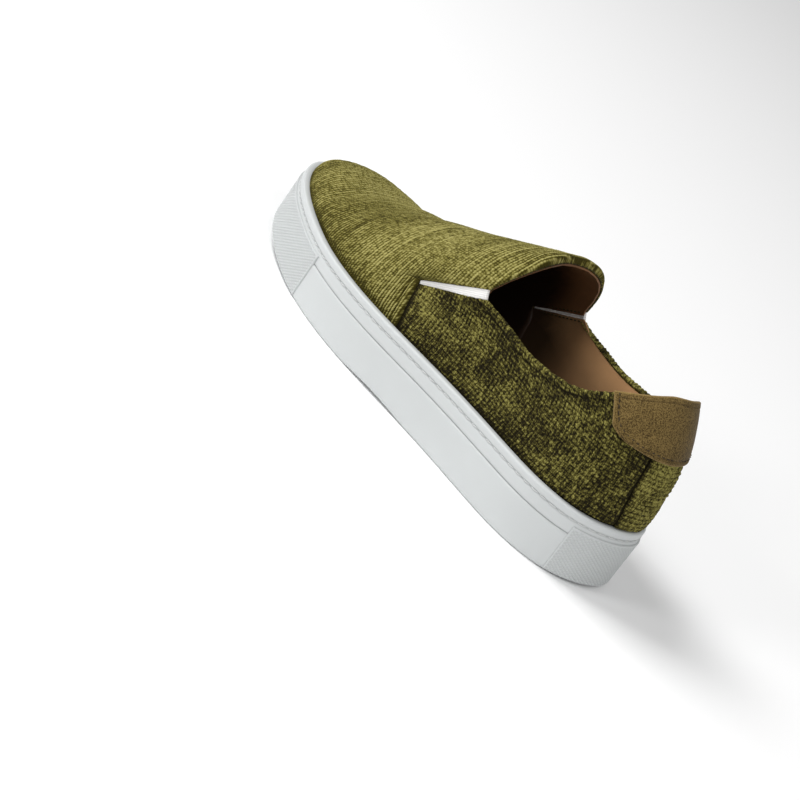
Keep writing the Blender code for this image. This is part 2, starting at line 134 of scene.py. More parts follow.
LENGTH = 260.0
GAP = 0.3
RIM_WIDTH = 4.0
FLOOR_THICKNESS = 13.0
WALL_INSET = RIM_WIDTH + GAP
SOLE_PLAN = table(
    "share lateral medial",
    (0.00, 0.0, 0.0),
    (0.05, 24.8, 25.2),
    (0.13, 35.3, 35.0),
    (0.22, 39.2, 37.4),
    (0.32, 42.3, 36.0),
    (0.42, 46.8, 35.0),
    (0.52, 51.8, 38.2),
    (0.62, 54.0, 45.2),
    (0.71, 52.0, 48.6),
    (0.80, 45.9, 46.0),
    (0.88, 37.4, 37.4),
    (0.95, 24.8, 23.8),
    (1.00, 0.5, -0.5),
)
SIDE_WALL = table("share height", (0.0, 30.0), (0.3, 29.7), (0.7, 28.6), (0.85, 28.2), (1.0, 25.4))
TOE_SPRING = 7.5
TOE_SPRING_FROM = 0.70
HEEL_BEVEL = 1.5
HEEL_BEVEL_TO = 0.07
ARCH_RISE = 1.5
ARCH_SPAN = (0.36, 0.56)
GROOVE_SHARE = 0.655
STITCH_SHARE = 0.865
BAND_SETBACK = 0.2
BUMPER_PROUD = 0.6
BUMPER_TOP_SHARE = 0.80
TOE_BUMPER_FROM = 0.715
HEEL_BUMPER_TO = 0.040

LAST = table(
    "share crest_x crest_y crest_z side_power top_power lean swell",
    (0.00, -50.0, 0.0, 120.0, 2.80, 2.40, 0.0, 3.2),
    (0.20, -52.0, 0.0, 116.0, 2.05, 2.40, 0.0, 1.6),
    (0.32, -54.0, 1.6, 110.0, 2.00, 2.35, 0.1, 0.8),
    (0.42, -46.5, 4.2, 103.0, 2.20, 2.60, 0.65, 0.3),
    (0.47, -39.3, 5.3, 99.0, 2.37, 2.90, 0.87, 0.1),
    (0.51, -27.2, 5.3, 97.0, 2.37, 2.80, 0.87, 0.0),
    (0.56, -15.5, 4.0, 92.2, 2.15, 2.25, 0.70, 0.0),
    (0.62, 2.0, 1.0, 82.4, 1.90, 1.90, 0.35, 0.0),
    (0.70, 35.0, -1.5, 65.5, 1.95, 1.90, 0.05, 0.0),
    (0.78, 63.0, -2.5, 53.0, 2.05, 1.95, 0.0, 0.0),
    (0.86, 84.0, -2.0, 47.0, 2.20, 2.00, 0.0, 0.0),
    (0.93, 97.0, -1.0, 43.8, 2.20, 2.00, 0.0, 0.0),
    (1.00, 104.0, -1.0, 42.5, 2.20, 2.00, 0.0, 0.0),
)
SWELL_TO = 0.72
TOPLINE = table(
    "share height",
    (0.000, 91.2),
    (0.012, 90.4),
    (0.027, 88.3),
    (0.046, 85.7),
    (0.070, 82.6),
    (0.098, 78.9),
    (0.142, 72.2),
    (0.207, 66.9),
    (0.280, 64.8),
    (0.335, 65.8),
    (0.390, 66.9),
    (0.469, 68.0),
)
TONGUE_EDGE = table(
    "share height",
    (0.469, 68.0),
    (0.4715, 72.4),
    (0.474, 77.2),
    (0.478, 83.3),
    (0.485, 90.2),
    (0.495, 95.1),
    (0.504, 96.8),
    (0.510, 97.0),
)
NOTCH_SHARE = 0.469
SEAM_FOOT = (0.5, 28.0)
VAMP_LAP = 0.7
LAP_FADE = (4.0, 16.0)
STRIP_HALF_ANGLE = 0.19
STRIP_LAP = 0.5
TAB_TOP_ANGLE = 0.636
TAB_TAPER = 0.10
TAB_CORNER = 0.10
TAB_CORNER_RISE = 0.25
TAB_FOOT = 66.5
TAB_THICKNESS = 1.2
TAB_GAP = 0.4
TAB_EASE = (0.07, 0.25)

# Sole: grooves, band and bumpers of the dressing

UNDER_INSET = 4.5
FOOT_ROUND = (1.5, 2.2)
LIP_ROUND = (1.2, 1.2)
WALL_FROM = 3.0
LIP_FROM = 1.3
# Painted shade on the floor of the cup
CUP_SHADE = 0.7
# Sections of the groove, the sunk stitch line and the rim: inset, height and painted shade
GROOVE_SECTION = (
    (0.0, -1.6, 0.0),
    (0.0, -0.5, 0.0),
    (0.1, -0.32, 0.05),
    (0.5, -0.18, 0.3),
    (0.65, 0.0, 0.5),
    (0.55, 0.18, 0.3),
    (BAND_SETBACK + 0.1, 0.32, 0.05),
    (BAND_SETBACK, 0.5, 0.0),
    (BAND_SETBACK, 1.5, 0.0),
)
STITCH_SECTION = (
    (0.0, -1.2, 0.0),
    (0.05, -0.7, 0.02),
    (0.3, -0.4, 0.25),
    (0.45, 0.0, 0.5),
    (0.3, 0.4, 0.25),
    (0.05, 0.7, 0.02),
    (0.0, 1.2, 0.0),
)
RIM_SECTION = ((-0.7, 0.0, 0.1), (-0.2, -0.2, 0.4), (0.0, -0.7, 0.7))
SOLE_COLUMNS = 361
SOLE_THREAD_SUNK = 0.35
BUMPER_COLUMNS = {"toe_bumper": 561, "heel_bumper": 173}
BUMPER_ROWS = 77
BUMPER_FOOT_SHARE = 0.03
BUMPER_SKIN = 0.05
BUMPER_SUNK = 0.4
# Painted shade along the bumpers' edges
BUMPER_EDGE_SHADE = (0.25, 0.0, 0.3)
HATCH_SLOPE = np.radians(33)
HATCH_WIDTH = 0.24
HATCH_DEPTH = 0.42
HATCH_MARGIN = (0.7, 1.1)
# Painted shade in the hatch's grooves
HATCH_SHADE = 0.2

# Upper: places and thicknesses of the dressing
# The slit of each gore lies about 5 mm further back than in the solids, as it does in the photo
GORE_TIP = (4.7, 51.3)
GORE_MOUTH = (-25.5, 69.5)
GORE_SLANT = -0.545
GORE_MARGIN = 0.05
SLIT = (0.9, 2.25)
SEAM_FROM = 29.5
SEAM_OVERLAP = 3.0
SEAM_END = (1.0, -3.0)
TIP_FADE = 5.0
TIP_GAP = 0.3
TIP_REACH = 2.4
TUCK = 2.5
BELOW_RIM = 3.0
LINING_BELOW_RIM = 13.5
LINING_BELOW_COLLAR = 2.2
DROP_PER_TURN = 100.0
# Depths of both faces of a sheet under the last
LINING = (1.7, 2.3)
VAMP_LINING = (2.4, 3.0)
ELASTIC = (0.7, 2.2)
# How far a lining reaches over the gore, at its tip and at its mouth
LINING_OVER = (0.4, 1.5)
QUARTER_LINING_OVER = {1: (0.3, -0.7), -1: (0.6, 1.2)}
ELASTIC_UNDER = 0.9
VAMP_CLOTH = 2.3
QUARTER_CLOTH = 1.6
STRIP_CLOTH = 0.7
STRIP_PROUD = 0.2
STRIP_UNDER = 0.03
STRIP_EDGE = table("height angle", (32.0, 0.151), (43.0, 0.185), (56.0, 0.212))
COLLAR_ROLL = 2.6
COLLAR_ROLL_END = (1.5, 3.0)
COLLAR_EASE = (0.8, 1.0)
TONGUE_FROM = 0.4705
TONGUE_STITCH_ABOVE = 1.5
TONGUE_STITCH_DEPTH = 0.5
TONGUE_STITCH_BACK = 0.1
GORE_STITCH_RUN = (0.2, 0.95)
GORE_STITCH_INSET = 1.2
TAB_OVER = 0.6
TAB_SUNK = 0.5
TAB_THREAD_SUNK = 0.2
# Reach of the tab's stitches across and down, and the power that squares their path
TAB_STITCH = (0.945, 0.905, 0.3)
# Rows of the vamp's grid up to the gore's tip, to its mouth and to the crest, as shares
VAMP_ROWS = (0.0, 0.2, 0.7, 1.0)
VAMP_STRETCH = 0.3
FAN_END = 0.585
FAN_COLUMNS = 0.25
STITCH_SHIFT = 0.3
# Rows and columns of each sheet
GRID = {
    "vamp": (201, 401),
    "vamp_lining": (161, 121),
    "quarter": (161, 481),
    "back_lining": (49, 121),
    "back_strip": (221, 121),
    "heel_patch": (97, 201),
    "elastic": (25, 73),
}
# Radius of each rounded edge
ROUND = {
    "vamp": 1.2,
    "vamp inside": 0.5,
    "quarter": 1.5,
    "collar": 1.2,
    "back_strip": 0.9,
    "heel_patch": 0.7,
    "elastic": 0.4,
    "bumper": 0.5,
}
# Stitches: share of their spacing that the thread covers, its radius and the rise of its middle
STITCHES = {
    "sole": (0.8, 0.32, 0.22),
    "tongue": (0.75, 0.3, 0.25),
    "gore": (0.7, 0.32, 0.2),
    "tab": (0.75, 0.3, 0.2),
}

# Upper: soft forms

# Folds across the toe box: height, place along the shoe, slant across it and width
FOLDS = (
    (1.6, 108.0, 0.0, 9.0),
    (-2.2, 84.0, 0.06, 9.0),
    (-1.1, 65.0, 0.06, 9.0),
    (-0.5, 32.0, 0.0, 18.0),
)
# Ridges and troughs: height, middle and width
TONGUE_LIP = (1.6, -27.0, 7.0)
SEAM_ROLL = (0.3, 1.8, 1.2)
SEAM_GROOVE = (-0.5, 4.0, 0.6)
STRIP_GAP = (1.0, 0.9, 1.3)
COLLAR_DIP = (-1.6, -0.42, 0.34)
HEEL_PULL = (3.8, -0.42, 0.42)
TAB_GROOVE = (-0.45, 2.4, 0.5)
# Depths, heights and widths of the quarter's forms
HEEL_BULGE = 2.5
HEM_RISE = 0.5
HEM_GROOVE = (0.6, 0.7)
TROUGH_DEPTH = 0.9
TROUGH_WIDTH = 4.0
GAP_DEPTH = 1.1
SCALLOP = 0.9
SCALLOP_WIDTH = 1.6
QUARTER_RELIEF = 2.4
STRIP_RELIEF = 2.2
# Where a form starts and where it has its full size
FOLDS_GROW = (34.0, 43.0)
LIP_GROWS = (88.0, 95.0)
LAP_GROWS = (30.2, 32.0)
LAP_AT_TOE = (50.0, 0.06)
RIBS_GROW = (0.3, 2.0)
PULL_GROWS = (46.0, 86.0)
BULGE_GROWS = (0.2, 1.6)
BULGE_ENDS = (4.0, 20.0)
BULGE_ROUND = (0.3, 0.8)
HEM_GROWS = (2.0, -6.0)
OVER_TIP = (-2.0, 0.5)

# Upper: tones of the cloth, with painted light and shade, and painted shade on the lining

# Bands of painted shade, or of painted highlight on the tab: change, middle and width
VAMP_EDGE_SHADE = (-0.35, 0.0, 1.0)
VAMP_RIM_SHADE = (-0.6, 0.0, 2.2)
QUARTER_RIM_SHADE = (-0.5, 0.0, 2.0)
STRIP_RIM_SHADE = (-0.5, 0.0, 1.6)
STRIP_EDGE_SHADE = (-0.5, 0.0, 0.7)
TAB_EDGE_HIGHLIGHT = (0.6, 0.3, 0.45)
# Slow changes of painted light and shade: full change, where it starts and where it is full
VAMP_FOOT_SHADE = (-0.12, 16.0, 4.0)
VAMP_TOE_LIGHT = (0.12, 55.0, 95.0)
QUARTER_HEEL_SHADE = (-0.27, -15.0, -60.0)
# Painted shade on the linings: darker towards the toe, the lateral side and down towards the footbed, up to a
# limit
VAMP_SHADE_DEEP = (0.95, -20.0, 0.0)
VAMP_SHADE_SIDE = (0.45, -12.0, 18.0)
BACK_SHADE_DEEP = (0.5, -48.0, -14.0)
BACK_SHADE_LOW = (0.45, 64.0, 46.0)
BACK_SHADE_END = (0.35, -18.0, 0.0)
MOST_SHADE = 0.98
QUARTER_TONE = 0.12
STRIP_TONE = 0.3
# Strength of painted shade at the gore's tip
TIP_SHADE = 0.7
# Strength of painted shade in the gap beside the back strip
GAP_SHADE = 2.4
HEM_PALE = 0.2
# Painted shade in the groove round the hem's stitches: strength and width
HEM_GROOVE_SHADE = (0.4, 0.6)

# Stage, in metres and watts

FLOOR_HALF = 15.0
FLOOR_DROP = 0.0002
SURROUNDINGS = 0.32
# Each light's place, size and power
LIGHTS = {
    "overhead softbox": ((1.1, 0.7, 1.6), 0.9, 30),
    "side softbox": ((0.3, 1.9, 0.75), 0.6, 10.5),
    "heel fill": ((-1.4, 0.6, 1.4), 1.2, 13),
}
# The photograph's camera, in millimetres from the origin of the solids
CAMERA_PLACE = (-664.98, 868.34, 435.77)
CAMERA_RIGHT = (-0.5033, -0.6735, 0.5414)
CAMERA_UP = (0.6508, 0.1169, 0.7502)
CAMERA_BACK = (-0.5685, 0.7299, 0.3795)
CAMERA_LENS = 117
CAMERA_SENSOR = 36
CAMERA_REACH = 60


# Curves of the shoe

def spline(knots, values, at):
    """Natural cubic through the knots."""
    step = np.diff(knots)
    slope = np.diff(values) / step
    bend = np.zeros(len(knots))
    system = np.diag(2 * (step[:-1] + step[1:])) + np.diag(step[1:-1], 1) + np.diag(step[1:-1], -1)
    bend[1:-1] = np.linalg.solve(system, 6 * np.diff(slope))
    i = np.clip(np.searchsorted(knots, at) - 1, 0, len(knots) - 2)
    t = at - knots[i]
    first = slope[i] - step[i] * (2 * bend[i] + bend[i + 1]) / 6
    return values[i] + t * first + t**2 * bend[i] / 2 + t**3 * (bend[i + 1] - bend[i]) / (6 * step[i])


def smoothstep(low, high, at):
    """Rises from 0 at low to 1 at high with level ends."""
    t = np.clip((at - low) / (high - low), 0.0, 1.0)
    return t * t * (3 - 2 * t)


def bell(at, middle, width):
    """1 at the middle, falling off on both sides within about the width."""
    return np.exp(-(((at - middle) / width) ** 2))


def ridge(at, shape):
    """A ridge, or a trough where its height is below 0: shape holds its height, middle and width."""
    height, middle, width = shape
    return height * bell(at, middle, width)


def ramp(at, shape):
    """A slow change: shape holds its full size, where it starts and where it is full."""
    size, start, full = shape
    return size * smoothstep(start, full, at)


def scatter(cells, seed):
    """A random number from 0 to 1 for each cell, which is given by its whole numbers."""
    key = cells @ np.array([73856093, 19349663, 83492791])[: cells.shape[-1]] + seed * 40503
    key = (key ^ (key >> 13)) * 1274126177
    return ((key ^ (key >> 16)) & 65535) / 65535

def noise(points, size, seed):
    """Smooth noise from -1 to 1: random values at the corners of cells of that size, blended inside them."""
    cell = np.asarray(points, float) / size
    base = np.floor(cell).astype(np.int64)
    t = cell - base
    t = t * t * (3 - 2 * t)
    total = np.zeros(cell.shape[:-1])
    for corner in np.ndindex(2, 2, 2):
        blend = np.prod(np.where(np.array(corner) == 1, t, 1 - t), axis=-1)
        total += (2 * scatter(base + corner, seed) - 1) * blend
    return total


def tufts(counts, shake, seed):
    """Tufts of a knit on a shaken grid, where counts are lengths in tufts.

    Gives the height, 1 in the middle of the nearest tuft and 0 between them, and its random number."""
    base = np.floor(counts).astype(np.int64)
    nearest = np.full(base.shape[:-1], 9.0)
    tone = np.zeros(base.shape[:-1])
    for step in np.ndindex(3, 3):
        cell = base + np.array(step) - 1
        move = np.stack([scatter(cell, seed), scatter(cell, seed + 1)], -1) - 0.5
        gap = np.linalg.norm(counts - cell - 0.5 - shake * move, axis=-1)
        tone = np.where(gap < nearest, scatter(cell, seed + 2), tone)
        nearest = np.minimum(gap, nearest)
    return np.clip(1 - nearest / 0.75, 0, 1), tone


def knit_tufts(counts, seeds, speckle):
    """Fine tufts over coarse ones: the heights of both, and the tone that they give together."""
    coarse, shade = tufts(counts, 0.4, seeds[0])
    fine, speck = tufts(2 * counts, 0.8, seeds[1])
    return coarse, fine, 0.35 * (shade - 0.5) + speckle * (speck - 0.5)

def outward(angle, turn):
    """Unit direction out of the last, square to its steps along the plan angle and up the arc."""
    nudge = 1e-3
    along = last_point(angle + nudge, turn) - last_point(angle - nudge, turn)
    up = last_point(angle, turn + nudge) - last_point(angle, turn - nudge)
    square = np.cross(up, along)
    return square / np.linalg.norm(square, axis=-1, keepdims=True)


def between(ends, along):
    """Straight run from the first of two values to the second."""
    return ends[0] + (ends[1] - ends[0]) * along


def share_of(angle):
    """Share of the sole's length, from the heel, at a plan angle."""
    return (1 - np.cos(angle)) / 2


def angle_of(share):
    """Plan angle on the lateral side at a share of the length."""
    return np.arccos(1 - 2 * np.asarray(share, float))


def outline(angle):
    """Outer edge of the sole, in plan."""
    wrapped = (angle + np.pi) % (2 * np.pi) - np.pi
    size = np.abs(wrapped)
    knots = angle_of(SOLE_PLAN["share"])
    lateral = spline(knots, SOLE_PLAN["lateral"], size)
    medial = spline(knots, SOLE_PLAN["medial"], size)
    return -np.cos(size) * LENGTH / 2, np.where(wrapped >= 0, lateral, -medial)


def plan(angle, inset):
    """Outer edge of the sole moved inwards, square to itself."""
    nudge = 1e-3
    x, y = outline(angle)
    ahead = outline(angle + nudge)
    behind = outline(angle - nudge)
    along_x = ahead[0] - behind[0]
    along_y = ahead[1] - behind[1]
    run = np.hypot(along_x, along_y)
    return x + inset * along_y / run, y - inset * along_x / run


def ground(share):
    """Underside at the sole's edge: level, with toe spring and a small bevel at the heel."""
    toe = np.clip((share - TOE_SPRING_FROM) / (1 - TOE_SPRING_FROM), 0, 1)
    heel = np.clip((HEEL_BEVEL_TO - share) / HEEL_BEVEL_TO, 0, 1)
    return TOE_SPRING * toe**2 + HEEL_BEVEL * heel**2


def arch(share):
    """Rise of the underside between heel and forefoot."""
    low, high = ARCH_SPAN
    middle = np.clip((share - low) / (high - low), 0, 1)
    return ARCH_RISE * np.sin(np.pi * middle) ** 2


def rim(share):
    """Top of the side wall."""
    return ground(share) + spline(SIDE_WALL["share"], SIDE_WALL["height"], share)


def plan_outward(angle):
    """Unit direction out of the sole's outline, in plan."""
    return np.stack(outline(angle), -1) - np.stack(plan(angle, 1.0), -1)


def arc_ends(angle):
    """Foot and crest of the arc at a plan angle, with the other columns of the last."""
    share = share_of(angle)
    foot_x, foot_y = plan(angle, WALL_INSET)
    column = {name: spline(LAST["share"], LAST[name], share) for name in LAST if name != "share"}
    foot = np.stack([foot_x, foot_y, rim(share)], -1)
    crest = np.stack([column["crest_x"], column["crest_y"], column["crest_z"]], -1)
    return foot, crest, column


def heel_pull(angle, height):
    """How far the cloth is drawn in at the medial back corner of the heel, more towards the collar."""
    return ridge(angle, HEEL_PULL) * smoothstep(*PULL_GROWS, height)


def last_point(angle, turn):
    """Point of the last: turn runs from 0 at the rim to pi / 2 at the crest, and below 0 straight down."""
    foot, crest, column = arc_ends(angle)
    bent = np.clip(turn, 0.0, np.pi / 2)
    inwards = 1 - np.cos(bent) ** (2 / column["side_power"])
    upwards = np.sin(bent) ** (2 / column["top_power"])
    leaning = inwards + (upwards - inwards) * column["lean"]
    height = foot[..., 2] + (crest - foot)[..., 2] * upwards + np.minimum(turn, 0.0) * DROP_PER_TURN
    swell = column["swell"] * np.sin(np.pi * np.minimum(upwards / SWELL_TO, 1))
    swell = swell - heel_pull(angle, height)
    flat = foot[..., :2] + (crest - foot)[..., :2] * np.stack([leaning, inwards], -1)
    flat = flat + plan_outward(angle) * swell[..., None]
    return np.concatenate([flat, height[..., None]], -1)


def turn_at(angle, height):
    """How far round its arc the last reaches a height."""
    foot, crest, column = arc_ends(angle)
    climb = np.clip((height - foot[..., 2]) / (crest[..., 2] - foot[..., 2]), 0, 1)
    return np.arcsin(climb ** (column["top_power"] / 2))


def angle_at(x, height, side):
    """Plan angle whose arc passes a point of the side view, found by stepping the arc's foot."""
    foot_x = x
    for _ in range(30):
        angle = side * angle_of(np.clip(foot_x / LENGTH + 0.5, 0.001, 0.999))
        gone = last_point(angle, turn_at(angle, height))[..., 0] - x
        foot_x = foot_x - 0.7 * gone
    return angle


def collar(angle):
    """Height of the collar's edge, from the back of the heel to the gore."""
    height = spline(TOPLINE["share"], TOPLINE["height"], np.minimum(share_of(angle), NOTCH_SHARE))
    return height + ridge(angle, COLLAR_DIP)


def seam_x(height):
    """Side seam in the side view, from the rim up to the tip of the gore."""
    climb = (height - SEAM_FOOT[1]) / (GORE_TIP[1] - SEAM_FOOT[1])
    return SEAM_FOOT[0] + (GORE_TIP[0] - SEAM_FOOT[0]) * np.clip(climb, 0, 1)


def gore_edge(along, offset):
    """Side view of a line along the gore, from its tip to its mouth, offset square to its middle and down."""
    run = np.subtract(GORE_MOUTH, GORE_TIP)
    square = np.array([-run[1], run[0]]) / np.hypot(*run)
    x = GORE_TIP[0] + run[0] * along + square[0] * offset
    z = GORE_TIP[1] + run[1] * along + square[1] * offset
    return x, z


def near_tip(points):
    """1 at the tip of the gore, where tacking stitches hold it, falling off around it: it places painted
    shade in the crease there.
    """
    return bell(np.hypot(points[..., 0] - GORE_TIP[0], points[..., 2] - GORE_TIP[1]), 0.0, TIP_REACH)


def below_tip(height):
    """1 below the tip of the gore, where the vamp's edge is a turned seam, falling to 0 past it."""
    return smoothstep(GORE_TIP[1] + SEAM_END[0], GORE_TIP[1] + SEAM_END[1], height)


def heel_bulge(angle, height):
    """Soft fold of the cloth at the heel, which hangs over the rim from just above it."""
    up = height - rim(share_of(angle))
    round_heel = 1 - smoothstep(*BULGE_ROUND, np.abs(angle))
    return HEEL_BULGE * round_heel * smoothstep(*BULGE_GROWS, up) * (1 - smoothstep(*BULGE_ENDS, up))


# Origin of the solids: the frame's box says how far the sole was moved across to its middle
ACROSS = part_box("outsole")[1].y / METRES - outline(np.linspace(0, np.pi, 2001))[1].max()


# Grids and meshes

def chain(points, axis):
    """Distance run along a grid, from its first row or column."""
    step = np.linalg.norm(np.diff(points, axis=axis), axis=-1)
    start = np.zeros_like(np.take(step, [0], axis=axis))
    return np.concatenate([start, np.cumsum(step, axis=axis)], axis=axis)


def facing(points, towards, zipped=False):
    """Unit normals of a grid, on the side where its middle one looks in the direction towards.

    zipped says that the last column is folded in the middle and sewn to itself."""
    padded = np.concatenate([points, points[::-1, -2:-1]], axis=1) if zipped else points
    normal = np.cross(np.gradient(padded, axis=1), np.gradient(padded, axis=0))[:, : points.shape[1]]
    if zipped:
        middle = points.shape[0] // 2
        normal[middle, -1] = normal[middle - 1, -1] + normal[middle + 1, -1]
    normal = normal / np.maximum(np.linalg.norm(normal, axis=-1, keepdims=True), 1e-12)
    return normal * np.sign(normal[points.shape[0] // 2, points.shape[1] // 2] @ np.array(towards))


def rounded(distance, radius):
    """How far a surface falls away near a rounded edge."""
    t = np.clip(1 - distance / radius, 0, 1)
    return radius * (1 - np.sqrt(1 - t * t))


def grid_quads(index):
    """Quads between the points of a grid of vertex numbers."""
    return np.stack([index[:-1, :-1], index[:-1, 1:], index[1:, 1:], index[1:, :-1]], -1).reshape(-1, 4)


def border(outer, inner, flip):
    """Faces between one edge of a fine grid and the matching edge of a coarser one."""
    runs = outer[np.arange(len(inner) - 1)[:, None] * INNER_STEP + np.arange(INNER_STEP + 1)[None, :]]
    faces = np.concatenate([runs, inner[1:, None], inner[:-1, None]], axis=1)
    return faces[:, ::-1] if flip else faces


def shell(outer, inner, zipped=False):
    """Closed sheet from a fine outer grid and a few of the points of the inner one: points and faces."""
    rows, columns, _ = outer.shape
    coarse = inner[::INNER_STEP, ::INNER_STEP]
    front = np.arange(rows * columns).reshape(rows, columns)
    back = rows * columns + np.arange(coarse.shape[0] * coarse.shape[1]).reshape(coarse.shape[:2])
    if zipped:
        front[rows // 2 + 1 :, -1] = front[: rows // 2, -1][::-1]
        back[coarse.shape[0] // 2 + 1 :, -1] = back[: coarse.shape[0] // 2, -1][::-1]
    faces = [grid_quads(front), grid_quads(back)[:, ::-1]]
    faces.append(border(front[0], back[0], True))
    faces.append(border(front[-1], back[-1], False))
    faces.append(border(front[:, 0], back[:, 0], False))
    if not zipped:
        faces.append(border(front[:, -1], back[:, -1], True))
    return np.concatenate([outer.reshape(-1, 3), coarse.reshape(-1, 3)]), faces


def sheet_values(values):
    """Values of a grid in the order of a shell's points."""
    return np.concatenate([values.reshape(-1), values[::INNER_STEP, ::INNER_STEP].reshape(-1)])


def turned_out(points, faces):
    """Faces of a closed mesh, turned round if the volume inside them comes out below 0."""
    fans = [
        np.stack([face[:, 0], face[:, i], face[:, i + 1]], -1)
        for face in faces
        for i in range(1, face.shape[1] - 1)
    ]
    a, b, c = points[np.concatenate(fans)].transpose(1, 0, 2)
    inside_out = np.sum(a * np.cross(b, c)) < 0
    return [face[:, ::-1] for face in faces] if inside_out else faces


def fill_mesh(mesh, points, faces):
    """Puts points, in millimetres, and faces into an empty mesh, and gives the faces' corners in order."""
    corners = np.concatenate([face.ravel() for face in faces])
    sizes = np.concatenate([np.full(len(face), face.shape[1]) for face in faces])
    mesh.vertices.add(len(points))
    mesh.vertices.foreach_set("co", ((points + [0, ACROSS, 0]) * METRES).astype(np.float32).ravel())
    mesh.loops.add(len(corners))
    mesh.loops.foreach_set("vertex_index", corners.astype(np.int32))
    mesh.polygons.add(len(sizes))
    mesh.polygons.foreach_set("loop_start", (np.cumsum(sizes) - sizes).astype(np.int32))
    mesh.update(calc_edges=True)
    return corners


def make_piece(name, points, faces, finish, slot, node=None, values=None, cloth=None):
    """Makes a mesh that faces outwards and rides on the shoe, without the points that no face uses.

    values are named numbers for each point, and cloth its two lengths along the cloth, in millimetres."""
    used = np.unique(np.concatenate([face.ravel() for face in faces]))
    place = np.zeros(len(points), np.int64)
    place[used] = np.arange(len(used))
    mesh = bpy.data.meshes.new(name)
    corners = fill_mesh(mesh, points[used], turned_out(points[used], [place[face] for face in faces]))
    for key, value in (values or {}).items():
        layer = mesh.attributes.new(key, "FLOAT", "POINT")
        layer.data.foreach_set("value", value[used].astype(np.float32))
    if cloth is not None:
        layer = mesh.uv_layers.new(name="cloth")
        layer.uv.foreach_set("vector", (cloth[used][corners] * METRES).astype(np.float32).ravel())
    mesh.shade_smooth()
    mesh.set_sharp_from_angle(angle=SHARP)
    mesh.materials.append(finish)
    piece = bpy.data.objects.new(name, mesh)
    bpy.context.scene.collection.objects.link(piece)
    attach(piece, "root")
    if node:
        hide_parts(node)


def make_cloth(name, outer, inner, finish, looks, node=None, zipped=False):
    """A sheet of cloth: looks are its ribs, its tone and its two lengths along the cloth, over the grid."""
    rib, tone, along, across = (sheet_values(look) for look in looks)
    lengths = np.stack([along, across], -1)
    make_piece(name, *shell(outer, inner, zipped), finish, "cloth", node, {"rib": rib, "tone": tone}, lengths)


def make_lining(name, base, out, depths, painted_shade, finish, zipped=False):
    """A sheet of lining leather between two depths under the last, with painted shade up to a limit."""
    points, faces = shell(base - out * depths[0], base - out * depths[1], zipped)
    values = {"painted_shade": sheet_values(np.minimum(painted_shade, MOST_SHADE))}
    make_piece(name, points, faces, finish, "leather", None, values)


def even_angles(start, end, count):
    """Plan angles at even distances along the sole's outline."""
    fine = np.linspace(start, end, 2001)
    x, y = outline(fine)
    run = np.concatenate([[0.0], np.cumsum(np.hypot(np.diff(x), np.diff(y)))])
    return np.interp(np.linspace(0, run[-1], count), run, fine)


def stitch_row(path, out, spacing, share, radius, lift):
    """A row of threads along a path: each is a round bar that dips into the surface at both ends.

    The bar's middle rises by lift and its ends sink by as much, along the direction out."""
    run = chain(path[None], 1)[0]
    count = max(int(run[-1] / spacing), 1)
    starts = (np.arange(count) + 0.5) * run[-1] / count
    along = np.linspace(-0.5, 0.5, 7)
    at = starts[:, None] + along[None, :] * run[-1] / count * share
    centre = np.stack([np.interp(at, run, path[:, k]) for k in range(3)], -1)
    up = np.stack([np.interp(at, run, out[:, k]) for k in range(3)], -1)
    up = up / np.linalg.norm(up, axis=-1, keepdims=True)
    forward = np.gradient(centre, axis=1)
    forward = forward / np.linalg.norm(forward, axis=-1, keepdims=True)
    aside = np.cross(forward, up)
    arc = np.cos(np.pi * along)
    centre = centre + up * (lift * (2 * arc - 1))[None, :, None]
    size = radius * (0.45 + 0.55 * np.sqrt(arc.clip(0, 1)))
    spin = np.linspace(0, 2 * np.pi, 7)[:-1]
    ringed = aside[:, :, None] * np.cos(spin)[:, None] + up[:, :, None] * np.sin(spin)[:, None]
    points = centre[:, :, None] + ringed * size[None, :, None, None]
    index = np.arange(points[..., 0].size).reshape(points.shape[:3])
    wrapped = np.concatenate([index, index[:, :, :1]], axis=2)
    quads = np.stack([wrapped[:, :-1, :-1], wrapped[:, :-1, 1:], wrapped[:, 1:, 1:], wrapped[:, 1:, :-1]], -1)
    return points.reshape(-1, 3), [quads.reshape(-1, 4), index[:, 0, ::-1], index[:, -1]]


def joined(parts):
    """Several sets of points and faces as one."""
    points = np.concatenate([part[0] for part in parts])
    offsets = np.cumsum([0] + [len(part[0]) for part in parts[:-1]])
    return points, [face + offset for part, offset in zip(parts, offsets) for face in part[1]]


# Materials

# Bands of a wave texture lie this far apart at a scale of 1
WAVE = 0.31416


def add(tree, kind, inputs=None, **settings):
    """One node with its settings; an input that is a socket is linked, and any other is set."""
    node = tree.nodes.new(kind)
    for name, value in settings.items():
        setattr(node, name, value)
    for name, value in (inputs or {}).items():
        if isinstance(value, bpy.types.NodeSocket):
            tree.links.new(value, node.inputs[name])
        else:
            node.inputs[name].default_value = value
    return node


def start_material(name):
    """An empty material with its tree and shader."""
    material = bpy.data.materials.new(name)
    material.use_nodes = True
    return material, material.node_tree, material.node_tree.nodes["Principled BSDF"]


def set_shader(tree, shader, **inputs):
    """Sets or links the shader's sockets, named with underscores for spaces."""
    for name, value in inputs.items():
        socket = shader.inputs[name.replace("_", " ")]
        if isinstance(value, bpy.types.NodeSocket):
            tree.links.new(value, socket)
        else:
            socket.default_value = value


